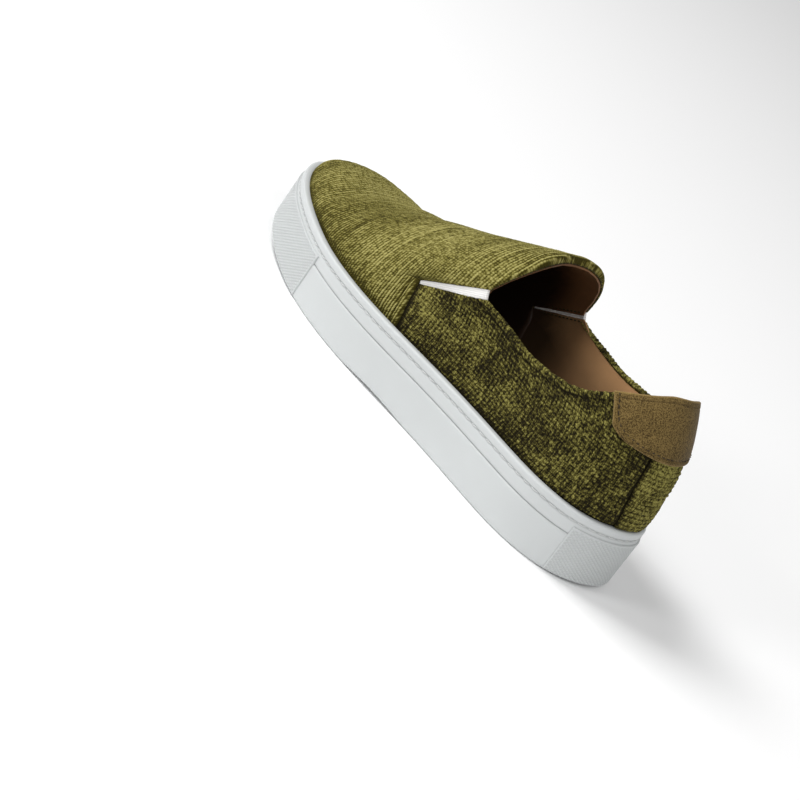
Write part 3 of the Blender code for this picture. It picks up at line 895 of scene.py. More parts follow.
def knit_material(name, low, middle, high, stitch, mixed):
    """Chenille knit: stitches of soft pile, with painted shade between them and paler tips, no gloss.

    stitch is the width and length of one stitch, in metres, and mixed how far their tones differ. Tips of
    single fibres are drawn about 0.9 mm apart, coarser than real ones, so that they show."""
    material, tree, shader = start_material(name)
    cloth = add(tree, "ShaderNodeUVMap", uv_map="cloth").outputs[0]
    rib = add(tree, "ShaderNodeAttribute", attribute_name="rib").outputs["Fac"]
    tone = add(tree, "ShaderNodeAttribute", attribute_name="tone").outputs["Fac"]
    counts = add(
        tree, "ShaderNodeMapping", {"Vector": cloth, "Scale": (1 / stitch[0], 1 / stitch[1], 1)}
    ).outputs[0]
    loops = add(
        tree,
        "ShaderNodeTexVoronoi",
        {"Vector": counts, "Scale": 1.0, "Randomness": 2 * STITCH_SHIFT},
        voronoi_dimensions="2D",
    )
    own = add(tree, "ShaderNodeSeparateColor", {"Color": loops.outputs["Color"]}).outputs["Red"]
    fibres = add(
        tree, "ShaderNodeTexNoise", {"Vector": cloth, "Scale": 1 / 0.0009, "Detail": 3.0, "Roughness": 0.7}
    ).outputs["Fac"]
    hollow = loops.outputs["Distance"]
    height = add(tree, "ShaderNodeMath", {0: hollow, 1: -1.2, 2: fibres}, operation="MULTIPLY_ADD").outputs[0]
    level = add(tree, "ShaderNodeMath", {0: own, 1: mixed, 2: height}, operation="MULTIPLY_ADD").outputs[0]
    # Painted shade in the valleys between ribs and stitches, paler on their tips
    level = add(tree, "ShaderNodeMath", {0: rib, 1: 1.2, 2: level}, operation="MULTIPLY_ADD").outputs[0]
    level = add(tree, "ShaderNodeMath", {0: level, 1: tone}, operation="ADD").outputs[0]
    lower = add(tree, "ShaderNodeMapRange", {"Value": level, "From Min": 0.3, "From Max": 0.9}).outputs[0]
    upper = add(tree, "ShaderNodeMapRange", {"Value": level, "From Min": 0.9, "From Max": 1.6}).outputs[0]
    shade = add(tree, "ShaderNodeMix", {0: lower, 6: (*low, 1), 7: (*middle, 1)}, data_type="RGBA").outputs[2]
    shade = add(tree, "ShaderNodeMix", {0: upper, 6: shade, 7: (*high, 1)}, data_type="RGBA").outputs[2]
    bump = add(tree, "ShaderNodeBump", {"Strength": 0.8, "Distance": 0.0006, "Height": height}).outputs[0]
    set_shader(tree, shader, Base_Color=shade, Normal=bump, Roughness=0.95, Specular_IOR_Level=0.15)
    set_shader(tree, shader, Sheen_Weight=0.08, Sheen_Roughness=0.6, Sheen_Tint=(*high, 1))
    return material


def suede_material(name, low, high):
    """Brushed suede: a speckled nap about 0.5 mm across over faint clouds, no gloss, and a painted highlight
    along the edge.
    """
    material, tree, shader = start_material(name)
    place = add(tree, "ShaderNodeTexCoord").outputs["Object"]
    nap = add(
        tree, "ShaderNodeTexNoise", {"Vector": place, "Scale": 1 / 0.0005, "Detail": 2.0, "Roughness": 0.7}
    ).outputs["Fac"]
    clouds = add(
        tree, "ShaderNodeTexNoise", {"Vector": place, "Scale": 1 / 0.012, "Detail": 2.0, "Roughness": 0.6}
    ).outputs["Fac"]
    level = add(tree, "ShaderNodeMath", {0: clouds, 1: 0.2, 2: nap}, operation="MULTIPLY_ADD").outputs[0]
    level = add(tree, "ShaderNodeMapRange", {"Value": level, "From Min": 0.46, "From Max": 0.74}).outputs[0]
    shade = add(tree, "ShaderNodeMix", {0: level, 6: (*low, 1), 7: (*high, 1)}, data_type="RGBA").outputs[2]
    edge_highlight = add(tree, "ShaderNodeAttribute", attribute_name="edge_highlight").outputs["Fac"]
    highlight_colour = tuple(1.35 * part for part in high)
    shade = add(tree, "ShaderNodeMix", {0: edge_highlight, 6: shade, 7: (*highlight_colour, 1)}, data_type="RGBA").outputs[2]
    bump = add(tree, "ShaderNodeBump", {"Strength": 0.5, "Distance": 0.0003, "Height": nap}).outputs[0]
    set_shader(
        tree, shader, Base_Color=shade, Normal=bump, Roughness=0.95, Specular_IOR_Level=0.12, Sheen_Weight=0.1
    )
    return material


def leather_material(name, base):
    """Lining leather: dull and smooth, with a fine pebble of about 0.8 mm and painted shade that darkens it
    towards black.
    """
    material, tree, shader = start_material(name)
    place = add(tree, "ShaderNodeTexCoord").outputs["Object"]
    grain = add(
        tree, "ShaderNodeTexVoronoi", {"Vector": place, "Scale": 1 / 0.0008}, feature="DISTANCE_TO_EDGE"
    ).outputs["Distance"]
    clouds = add(
        tree, "ShaderNodeTexNoise", {"Vector": place, "Scale": 1 / 0.014, "Detail": 3.0}
    ).outputs["Fac"]
    # Painted shade, from each piece's attribute, mixes the leather towards black
    painted_shade = add(tree, "ShaderNodeAttribute", attribute_name="painted_shade").outputs["Fac"]
    dark = tuple(0.72 * part for part in base)
    painted_shade_colour = tuple(0.06 * part for part in base)
    shade = add(tree, "ShaderNodeMix", {0: clouds, 6: (*dark, 1), 7: (*base, 1)}, data_type="RGBA").outputs[2]
    shade = add(tree, "ShaderNodeMix", {0: painted_shade, 6: shade, 7: (*painted_shade_colour, 1)}, data_type="RGBA").outputs[2]
    bump = add(tree, "ShaderNodeBump", {"Strength": 0.25, "Distance": 0.0002, "Height": grain}).outputs[0]
    set_shader(tree, shader, Base_Color=shade, Normal=bump, Roughness=0.62, Specular_IOR_Level=0.35)
    return material


def rubber_material(name, base):
    """White moulded rubber: satin, with a faint mould texture, and grey painted shade in its grooves and
    hollows.
    """
    material, tree, shader = start_material(name)
    place = add(tree, "ShaderNodeTexCoord").outputs["Object"]
    # Painted shade from each piece's attribute turns the rubber grey
    rubber_shade = add(tree, "ShaderNodeAttribute", attribute_name="rubber_shade").outputs["Fac"]
    grit = add(
        tree, "ShaderNodeTexNoise", {"Vector": place, "Scale": 1 / 0.0007, "Detail": 3.0, "Roughness": 0.6}
    ).outputs["Fac"]
    clouds = add(
        tree, "ShaderNodeTexNoise", {"Vector": place, "Scale": 1 / 0.02, "Detail": 2.0}
    ).outputs["Fac"]
    dull = tuple(0.95 * part for part in base)
    grey = tuple(0.3 * part for part in base)
    shade = add(tree, "ShaderNodeMix", {0: clouds, 6: (*dull, 1), 7: (*base, 1)}, data_type="RGBA").outputs[2]
    shade = add(tree, "ShaderNodeMix", {0: rubber_shade, 6: shade, 7: (*grey, 1)}, data_type="RGBA").outputs[2]
    rough = add(
        tree,
        "ShaderNodeMapRange",
        {"Value": clouds, "From Min": 0.3, "From Max": 0.7, "To Min": 0.46, "To Max": 0.56},
    ).outputs[0]
    bump = add(tree, "ShaderNodeBump", {"Strength": 0.12, "Distance": 0.0002, "Height": grit}).outputs[0]
    set_shader(tree, shader, Base_Color=shade, Normal=bump, Roughness=rough, IOR=1.5, Specular_IOR_Level=0.4)
    return material


def elastic_material(name, base):
    """Woven elastic: matt white yarn over rubber cores 0.9 mm apart, thin enough to let light in."""
    material, tree, shader = start_material(name)
    place = add(tree, "ShaderNodeTexCoord").outputs["Object"]
    slanted = add(tree, "ShaderNodeMapping", {"Vector": place, "Rotation": (0, GORE_SLANT, 0)}).outputs[0]
    cores = add(
        tree,
        "ShaderNodeTexWave",
        {"Vector": slanted, "Scale": WAVE / 0.0009, "Distortion": 0.6},
        bands_direction="Z",
    ).outputs["Fac"]
    yarn = add(
        tree, "ShaderNodeTexNoise", {"Vector": place, "Scale": 1 / 0.0005, "Detail": 2.0}
    ).outputs["Fac"]
    height = add(tree, "ShaderNodeMath", {0: yarn, 1: 0.6, 2: cores}, operation="MULTIPLY_ADD").outputs[0]
    dull = tuple(0.78 * part for part in base)
    shade = add(tree, "ShaderNodeMix", {0: height, 6: (*dull, 1), 7: (*base, 1)}, data_type="RGBA").outputs[2]
    bump = add(tree, "ShaderNodeBump", {"Strength": 0.35, "Distance": 0.0002, "Height": height}).outputs[0]
    set_shader(tree, shader, Base_Color=shade, Normal=bump, Roughness=0.85, Specular_IOR_Level=0.2)
    set_shader(tree, shader, Subsurface_Weight=0.7, Subsurface_Radius=(1, 1, 1), Subsurface_Scale=0.002)
    return material


def thread_material(name, base):
    """Twisted sewing thread: plies wound 0.5 mm apart with a faint gloss."""
    material, tree, shader = start_material(name)
    place = add(tree, "ShaderNodeTexCoord").outputs["Object"]
    plies = add(
        tree,
        "ShaderNodeTexWave",
        {"Vector": place, "Scale": WAVE / 0.0005, "Distortion": 0.5},
        bands_direction="DIAGONAL",
    ).outputs["Fac"]
    dull = tuple(0.7 * part for part in base)
    shade = add(tree, "ShaderNodeMix", {0: plies, 6: (*dull, 1), 7: (*base, 1)}, data_type="RGBA").outputs[2]
    bump = add(tree, "ShaderNodeBump", {"Strength": 0.3, "Distance": 0.0001, "Height": plies}).outputs[0]
    set_shader(tree, shader, Base_Color=shade, Normal=bump, Roughness=0.6, Specular_IOR_Level=0.3)
    return material


# Cup sole

def sole_point(angle, inset, share_up):
    """Point of the sole's wall: inset from the outline, at a share of the way from its foot to the rim."""
    share = share_of(angle)
    low = ground(share)
    x, y = plan(angle, inset)
    return np.stack([x, y, low + (rim(share) - low) * share_up], -1)


def cap_quads(ring):
    """Strips across one closed ring that starts at the toe, between its points of the same station."""
    half = len(ring) // 2
    one = ring[: half + 1]
    other = np.concatenate([ring[:1], ring[:half - 1:-1]])
    quads = np.stack([one[1:-2], one[2:-1], other[2:-1], other[1:-2]], -1)
    ends = np.array([[one[0], one[1], other[1]], [one[-2], one[-1], other[-2]]])
    return [quads, ends]


def corner_round(width, height):
    """Points round a quarter of an ellipse, as insets and climbs, from its level end to its upright one."""
    turn = np.linspace(0, np.pi / 2, 6)
    return list(zip(width * (1 - np.sin(turn)), height * (1 - np.cos(turn))))


def sole_profile(share):
    """Inset, height and painted shade of the sole's section, from its underside over the wall and rim and
    down inside.

    The wall is upright, with a rounded foot, a groove, a band with a sunk stitch line and a soft rim."""
    low = ground(share)
    top = rim(share)
    under = low + arch(share)
    groove = low + (top - low) * GROOVE_SHARE
    line = low + (top - low) * STITCH_SHARE
    rows = [(UNDER_INSET, under, 0.0)]
    for inset, climb in corner_round(*FOOT_ROUND):
        part = climb / FOOT_ROUND[1]
        rows.append((inset, under * (1 - part) + (low + climb) * part, 0.0))
    rows.append((0.0, low + WALL_FROM, 0.0))
    rows += [(inset, groove + up, rubber_shade) for inset, up, rubber_shade in GROOVE_SECTION]
    rows += [(BAND_SETBACK + inset, line + up, rubber_shade) for inset, up, rubber_shade in STITCH_SECTION]
    rows.append((BAND_SETBACK, top - LIP_FROM, 0.0))
    rows += [(BAND_SETBACK + inset, top - fall, 0.0) for inset, fall in corner_round(*LIP_ROUND)[::-1]]
    rows += [(RIM_WIDTH + inset, top + up, rubber_shade) for inset, up, rubber_shade in RIM_SECTION]
    rows.append((RIM_WIDTH, low + FLOOR_THICKNESS, CUP_SHADE))
    return rows


def make_sole(finish):
    """The cup sole: its section carried round the outline, closed by strips underneath and inside the cup."""
    half = even_angles(0, np.pi, SOLE_COLUMNS)
    angle = np.concatenate([-half[::-1], half[1:-1]])
    rows = sole_profile(share_of(angle))
    points = np.array([np.stack([*plan(angle, inset), height + 0 * angle], -1) for inset, height, _ in rows])
    rubber_shade = np.array([row[2] for row in rows])[:, None] + 0 * points[..., 0]
    index = np.arange(rubber_shade.size).reshape(rubber_shade.shape)
    closed = np.concatenate([index, index[:, :1]], axis=1)
    faces = [grid_quads(closed)]
    faces += [face[:, ::-1] for face in cap_quads(index[0])]
    faces += cap_quads(index[-1])
    values = {"rubber_shade": rubber_shade.reshape(-1)}
    make_piece("cup_sole", points.reshape(-1, 3), faces, finish, "rubber", "outsole", values)


def make_sole_stitches(thread, spacing):
    """Thread in the sunk line of the sole's band, all the way round."""
    angle = even_angles(-np.pi, np.pi, 4 * SOLE_COLUMNS - 3)
    path = sole_point(angle, BAND_SETBACK + SOLE_THREAD_SUNK, STITCH_SHARE)
    out = np.concatenate([plan_outward(angle), 0 * angle[:, None]], axis=1)
    make_piece("sole_stitches", *stitch_row(path, out, spacing, *STITCHES["sole"]), thread, "rubber")


def make_bumper(name, start, end, finish, pitch):
    """A moulded bumper on the sole's wall with two families of diagonal grooves that leave small diamonds.

    Its skin stands proud of the wall and falls away, rounded, to its edges."""
    columns = BUMPER_COLUMNS[name]
    angle = even_angles(start, end, columns)
    climb = np.linspace(BUMPER_FOOT_SHARE, BUMPER_TOP_SHARE, BUMPER_ROWS)[:, None]
    wall = sole_point(angle[None, :] + 0 * climb, 0.0, climb)
    out = facing(wall, wall[BUMPER_ROWS // 2, columns // 2] * [1, 1, 0])
    run = chain(wall, 1)
    rise = chain(wall, 0)
    edge = np.minimum(np.minimum(run, run[:, -1:] - run), rise[-1:] - rise)
    lines = [rise * np.cos(HATCH_SLOPE) + way * run * np.sin(HATCH_SLOPE) for way in (-1, 1)]
    cuts = np.maximum(*[bell(np.mod(line, pitch), pitch / 2, HATCH_WIDTH * pitch) for line in lines])
    cuts = cuts * smoothstep(*HATCH_MARGIN, edge)
    proud = BUMPER_PROUD + BUMPER_SKIN - HATCH_DEPTH * cuts - rounded(edge, ROUND["bumper"])
    # Painted shade in the hatch's grooves and along the bumper's edge
    rubber_shade = HATCH_SHADE * cuts + ridge(edge, BUMPER_EDGE_SHADE)
    points, faces = shell(wall + out * proud[..., None], wall - out * BUMPER_SUNK)
    make_piece(name, points, faces, finish, "rubber", None, {"rubber_shade": sheet_values(rubber_shade)})


# Upper

def vamp_back(behind_seam, over):
    """Turns and plan angles of the vamp's back edge: up the seam, the gore's upper edge and the tongue's.

    behind_seam moves the edge back along the seam, and over is how far it reaches over the gore's ends."""
    height = np.linspace(SEAM_FROM, GORE_TIP[1], 12)
    along = np.linspace(0, 1, 20)
    gore_x, gore_z = gore_edge(along, between(over, along) - between(SLIT, along))
    back = behind_seam * (1 - smoothstep(GORE_TIP[1] - TIP_FADE, GORE_TIP[1], height))
    x = np.concatenate([seam_x(height) - back, gore_x])
    z = np.concatenate([height, gore_z])
    angle = angle_at(x, z, 1)
    turn = turn_at(angle, z)
    share = np.linspace(TONGUE_FROM, TONGUE_EDGE["share"][-1], 40)
    tip_angle = angle_of(share)
    tip_turn = turn_at(tip_angle, spline(TONGUE_EDGE["share"], TONGUE_EDGE["height"], share))
    keep = tip_turn > turn.max() + 0.01
    turn = np.concatenate([turn, tip_turn[keep], [np.pi / 2]])
    return turn, np.concatenate([angle, tip_angle[keep], tip_angle[-1:]])


def vamp_grid(rows, columns, behind_seam=0.0, over=(0.0, 0.0), foot=BELOW_RIM):
    """Plan angle and turn over the vamp, from the lateral rim over the crest to the medial, back to front.

    Half of the rows lie along the gore. The first columns fan out from the back edge to a line ahead of the
    gore, and the others run on evenly to the toe."""
    tip = turn_at(angle_at(*GORE_TIP, 1), GORE_TIP[1])
    mouth = turn_at(angle_at(*GORE_MOUTH, 1), GORE_MOUTH[1])
    steps = (-foot / DROP_PER_TURN, tip - GORE_MARGIN, mouth + GORE_MARGIN, np.pi / 2)
    half = np.interp(np.linspace(0, 1, rows // 2 + 1), VAMP_ROWS, steps)
    back = np.interp(half, *vamp_back(behind_seam, over))[:, None]
    along = np.linspace(0, 1, columns)[None, :]
    ahead = angle_of(FAN_END)
    fan = np.clip(along / FAN_COLUMNS, 0, 1)
    rest = np.clip((along - FAN_COLUMNS) / (1 - FAN_COLUMNS), 0, 1)
    rest = (1 - VAMP_STRETCH) * rest + VAMP_STRETCH * rest**2
    angle = back + (ahead - back) * fan + (np.pi - ahead) * rest
    turn = half[:, None] + 0 * angle
    return np.concatenate([angle, -angle[-2::-1]]), np.concatenate([turn, turn[-2::-1]])


def clear_of_mouth(x):
    """Fades the vamp's lap out at the mouth of the gore and over the tongue."""
    return smoothstep(GORE_MOUTH[0] + LAP_FADE[0], GORE_MOUTH[0] + LAP_FADE[1], x)


def vamp_lift(points, edge):
    """How far the vamp's outer face stands off the last, with soft folds across the toe box.

    It adds the lap over the quarters, the folds, the tongue's lip, and the roll and groove of the seam."""
    x, y, z = np.moveaxis(points, -1, 0)
    above = z + LAP_AT_TOE[1] * np.maximum(x - LAP_AT_TOE[0], 0)
    lap = VAMP_LAP * clear_of_mouth(x) * smoothstep(*LAP_GROWS, above)
    fold = sum(height * bell(x, place + slant * y, width) for height, place, slant, width in FOLDS)
    lip = ridge(x, TONGUE_LIP) * smoothstep(*LIP_GROWS, z)
    roll = (ridge(edge, SEAM_ROLL) + ridge(edge, SEAM_GROOVE)) * below_tip(z)
    return lap + fold * smoothstep(*FOLDS_GROW, z) + lip + roll - rounded(edge, ROUND["vamp"])


def vamp_tone(points, edge, above):
    """Changes of the vamp's tone: clouds, painted light on the toe, and painted shade at its edges, foot,
    seam groove and the gore's tip.

    edge is the distance from its back edge, and above the height over the rim."""
    tone = 0.2 * noise(points * [1, 0.4, 0.4], 8.0, 12) + ridge(edge, VAMP_EDGE_SHADE)
    tone += ramp(above, VAMP_FOOT_SHADE) + ridge(above, VAMP_RIM_SHADE) + ramp(points[..., 0], VAMP_TOE_LIGHT)
    return tone + ridge(edge, SEAM_GROOVE) * below_tip(points[..., 2]) - TIP_SHADE * near_tip(points)


def vamp_ribs(points, pitch):
    """Ribs across the vamp: level lines of x that wander a little, each with a strength of its own.

    Gives the length along the cloth, the height from 0 to 1 and the rib's own tone."""
    wander = 0.5 * noise(points * [1, 0.3, 0.3], 9.0, 3) + 0.15 * noise(points * [1, 0.5, 0.5], 2.0, 4)
    along = points[..., 0] + wander
    count = along / pitch - STITCH_SHIFT
    number = np.floor(count + 0.5).astype(np.int64)
    strong = scatter(number[..., None], 61) * (0.55 + 0.45 * noise(points * [0.4, 1, 1], 16.0, 62))
    second = 0.5 + 0.5 * np.cos(np.pi * number)
    crest = 0.5 + 0.5 * np.cos(2 * np.pi * count)
    return along, crest * (0.55 + 0.2 * second + 0.25 * strong), 0.9 * (strong - 0.3) * crest


def make_vamp(finish, thread, sizes):
    """Vamp and tongue as one sheet over the forefoot, with stitches round the tongue's edge."""
    angle, turn = vamp_grid(*GRID["vamp"])
    base = last_point(angle, turn)
    out = facing(base, UP, zipped=True)
    edge = chain(base, 1)
    along, rib, own = vamp_ribs(base, sizes.vamp_rib / METRES)
    across = chain(base, 0)
    across = across - across[across.shape[0] // 2]
    relief = sizes.rib_height / METRES * (rib - 0.5) * smoothstep(*RIBS_GROW, edge)
    outer = base + out * (vamp_lift(base, edge) + relief)[..., None]
    inner = base - out * (VAMP_CLOTH - rounded(edge, ROUND["vamp inside"]))[..., None]
    tone = own + vamp_tone(base, edge, base[..., 2] - rim(share_of(angle)))
    make_cloth("vamp", outer, inner, finish, (rib, tone, along, across), "upper", zipped=True)
    tongue = base[:, 0, 2] > TOPLINE["height"][-1] + TONGUE_STITCH_ABOVE
    backwards = (base[:, 0] - base[:, 4])[tongue]
    backwards = backwards / np.linalg.norm(backwards, axis=-1, keepdims=True)
    path = base[tongue, 0] - out[tongue, 0] * (VAMP_CLOTH - TONGUE_STITCH_DEPTH)
    path = path + backwards * TONGUE_STITCH_BACK
    row = stitch_row(path, backwards, sizes.seam_stitch / METRES, *STITCHES["tongue"])
    make_piece("tongue_stitches", *row, thread, "cloth")


def make_vamp_lining(finish):
    """Lining of the vamp, which laps over the quarters' lining at the seam and has painted shade towards the
    toe.
    """
    base = last_point(*vamp_grid(*GRID["vamp_lining"], SEAM_OVERLAP, LINING_OVER, LINING_BELOW_RIM))
    out = facing(base, UP, zipped=True)
    # Painted shade, darker towards the toe and the lateral side
    painted_shade = ramp(base[..., 0], VAMP_SHADE_DEEP) + ramp(base[..., 1], VAMP_SHADE_SIDE)
    make_lining("vamp_lining", base, out, VAMP_LINING, painted_shade, finish, zipped=True)


def quarter_front(side, tuck, over, foot):
    """Plan angles and turns of the quarter's front edge, from the rim up the seam and the gore's lower edge.

    tuck moves the edge forward under the vamp, and over is how far it reaches over the gore's two ends."""
    along = np.linspace(0, 1, 40)
    gore_x, gore_z = gore_edge(along, between(SLIT, along) - between(over, along))
    height = np.linspace(SEAM_FROM, gore_z[0] - TIP_GAP, 30)
    under = tuck * (1 - smoothstep(gore_z[0] - TIP_FADE, gore_z[0] - TIP_GAP, height))
    x = np.concatenate([seam_x(height) + under, gore_x])
    z = np.concatenate([height, gore_z])
    angle = angle_at(x, z, side)
    turn = turn_at(angle, z)
    angle = np.concatenate([angle[:1], angle])
    turn = np.concatenate([[-foot / DROP_PER_TURN], turn])
    return angle, turn


def quarter_grid(side, start, tuck, rows, columns, over=(0.0, 0.0), below=0.0, foot=BELOW_RIM):
    """Plan angle and turn over a quarter: a patch blended between its four edges.

    over lets its front edge reach over the gore, and below moves its upper edge down from the collar. The
    upper edge eases down to the front one over the last part of its run."""
    front_angle, front_turn = quarter_front(side, tuck, over, foot)
    run = chain(last_point(front_angle, front_turn)[None], 1)[0]
    v = np.linspace(0, 1, rows)
    u = np.linspace(0, 1, columns)
    right = np.stack([np.interp(v * run[-1], run, front_angle), np.interp(v * run[-1], run, front_turn)], -1)
    low = side * even_angles(start, abs(right[0, 0]), columns)
    low = np.stack([low, np.full(columns, right[0, 1])], -1)
    high = side * even_angles(start, abs(right[-1, 0]), columns)
    high = np.stack([high, turn_at(high, collar(high) - below)], -1)
    high[:, 1] += (right[-1, 1] - high[-1, 1]) * smoothstep(*COLLAR_EASE, u)
    left = np.stack([np.full(rows, side * start), low[0, 1] + (high[0, 1] - low[0, 1]) * v], -1)
    v = v[:, None, None]
    u = u[None, :, None]
    patch = (1 - v) * low[None] + v * high[None] + (1 - u) * left[:, None] + u * right[:, None]
    patch -= (1 - u) * (1 - v) * low[0] + u * (1 - v) * low[-1] + (1 - u) * v * high[0] + u * v * high[-1]
    return patch[..., 0], patch[..., 1]


def quarter_ribs(points, along, pitch, row):
    """Knit of the quarters: loose tufts in upright ribs and level rows, with finer strands over them.

    Gives the height from 0 to 1 and the tufts' own tones."""
    wander = 0.6 * noise(points, 7.0, 21) + 0.15 * noise(points, 1.7, 22)
    sag = 0.6 * noise(points, 8.0, 23) + 0.15 * noise(points, 1.9, 24)
    counts = np.stack([(along + wander) / pitch, (points[..., 2] + sag) / row], -1)
    coarse, fine, own = knit_tufts(counts, (25, 29), 0.7)
    upright = 0.5 - 0.5 * np.cos(2 * np.pi * counts[..., 0])
    level = 0.5 - 0.5 * np.cos(2 * np.pi * counts[..., 1])
    return 0.35 * coarse + 0.3 * fine + 0.2 * upright + 0.15 * level, own


def strip_edge(height):
    """Plan angle of the back strip's edge at a height: the strip narrows towards the rim."""
    return np.interp(height, STRIP_EDGE["height"], STRIP_EDGE["angle"])


def quarter_tone(points, above, top, hem):
    """Changes of a quarter's tone: patches, painted shade at the heel, rim and gore's tip, a pale hem and
    painted shade in the groove round its stitches.

    above is the height over the rim, and top the distance from the collar's edge."""
    patches = 0.34 * noise(points * [0.7, 0.7, 1.2], 11.0, 33) + 0.2 * noise(points, 4.0, 34)
    tone = patches + QUARTER_TONE + ramp(points[..., 0], QUARTER_HEEL_SHADE) + ridge(above, QUARTER_RIM_SHADE)
    tone += HEM_PALE * (1 - smoothstep(1.0, hem, top)) - HEM_GROOVE_SHADE[0] * bell(top, hem, HEM_GROOVE_SHADE[1])
    return tone - TIP_SHADE * near_tip(points)


def make_quarter(name, side, finish, sizes):
    """One quarter: a sheet from the back strip to the seam, with a rolled collar edge and a stitched hem."""
    angle, turn = quarter_grid(side, STRIP_EDGE["angle"][0] - STRIP_UNDER, TUCK, *GRID["quarter"])
    base = last_point(angle, turn)
    out = facing(base, (0, side, 0))
    x, y, z = np.moveaxis(base, -1, 0)
    along = chain(base, 1)
    top = chain(base[::-1], 0)[::-1]
    front = chain(base[:, ::-1], 1)[:, ::-1]
    over_tip = smoothstep(GORE_TIP[1] + OVER_TIP[0], GORE_TIP[1] + OVER_TIP[1], z)
    edge = np.minimum(top, front + 50 * (1 - over_tip))
    trough = (1 - smoothstep(0.0, TROUGH_WIDTH, seam_x(z) - x)) * (1 - over_tip)
    gap = ridge((np.abs(angle) - strip_edge(z)) * np.hypot(x, y), STRIP_GAP)
    hem = sizes.hem / METRES
    rib, own = quarter_ribs(base, along, sizes.quarter_rib / METRES, sizes.quarter_row / METRES)
    fold = HEM_RISE * smoothstep(hem + 1.5, hem - 0.5, top) - HEM_GROOVE[0] * bell(top, hem, HEM_GROOVE[1])
    lift = fold * smoothstep(*HEM_GROWS, x) - TROUGH_DEPTH * trough - GAP_DEPTH * gap
    lift += QUARTER_RELIEF * sizes.rib_height / METRES * (rib - 0.4) * (1 - trough)
    lift += 0.4 * noise(base * [1, 1, 1.6], 9.0, 31) + heel_bulge(angle, z) - rounded(edge, ROUND["quarter"])
    edged = base + (SCALLOP * (rib - 0.45) * bell(top, 0.0, SCALLOP_WIDTH))[..., None] * UP
    depth = QUARTER_CLOTH + (COLLAR_ROLL - QUARTER_CLOTH) * (1 - smoothstep(*COLLAR_ROLL_END, top))
    depth = depth - rounded(top, ROUND["collar"])
    # The trough by the seam and the gap beside the back strip get painted shade
    tone = own + quarter_tone(base, z - rim(share_of(angle)), top, hem) - trough - GAP_SHADE * gap
    outer = edged + out * lift[..., None]
    make_cloth(name, outer, edged - out * depth[..., None], finish, (rib, tone, along, z))


def make_back_lining(finish):
    """Lining of both quarters and the heel, one sheet from gore to gore."""
    size = GRID["back_lining"]
    ends = (LINING_BELOW_COLLAR, LINING_BELOW_RIM)
    halves = [quarter_grid(side, 0.0, 0.0, *size, QUARTER_LINING_OVER[side], *ends) for side in (-1, 1)]
    both = zip(*halves)
    angle, turn = (np.concatenate([one[:, ::-1], other[:, 1:]], axis=1) for one, other in both)
    base = last_point(angle, turn)
    # Painted shade, darker towards the front and lower down
    painted_shade = ramp(base[..., 0], BACK_SHADE_DEEP) + ramp(base[..., 0], BACK_SHADE_END)
    painted_shade += ramp(base[..., 2], BACK_SHADE_LOW)
    make_lining("back_lining", base, facing(base, BACK), LINING, painted_shade, finish)


def make_gore_stitches(thread, spacing):
    """Rows of stitches inside the shoe, through the lining on both sides of each gore."""
    along = np.linspace(*GORE_STITCH_RUN, 60)
    rows = []
    for side in (-1, 1):
        edges = ((-1, VAMP_LINING[1], LINING_OVER), (1, LINING[1], QUARTER_LINING_OVER[side]))
        for way, depth, over in edges:
            x, z = gore_edge(along, way * (between(SLIT, along) - between(over, along) + GORE_STITCH_INSET))
            angle = angle_at(x, z, side)
            turn = turn_at(angle, z)
            out = outward(angle, turn)
            rows.append(stitch_row(last_point(angle, turn) - out * depth, -out, spacing, *STITCHES["gore"]))
    make_piece("gore_stitches", *joined(rows), thread, "cloth")


def make_elastic(name, side, node, finish):
    """Elastic in one gore: a sheet a little wider than the slit, held under the vamp and the quarter."""
    rows, columns = GRID["elastic"]
    along = np.linspace(0.01, 1.0, columns)[None, :]
    across = np.linspace(-1, 1, rows)[:, None]
    x, z = gore_edge(along, across * (between(SLIT, along) + ELASTIC_UNDER))
    angle = angle_at(x, z, side)
    turn = turn_at(angle, z)
    base = last_point(angle, turn)
    out = outward(angle, turn)
    edge = chain(base[:, ::-1], 1)[:, ::-1]
    depth = ELASTIC[0] + rounded(edge, ROUND["elastic"])
    points, faces = shell(base - out * depth[..., None], base - out * ELASTIC[1])
    make_piece(name, points, faces, finish, "elastic", node)


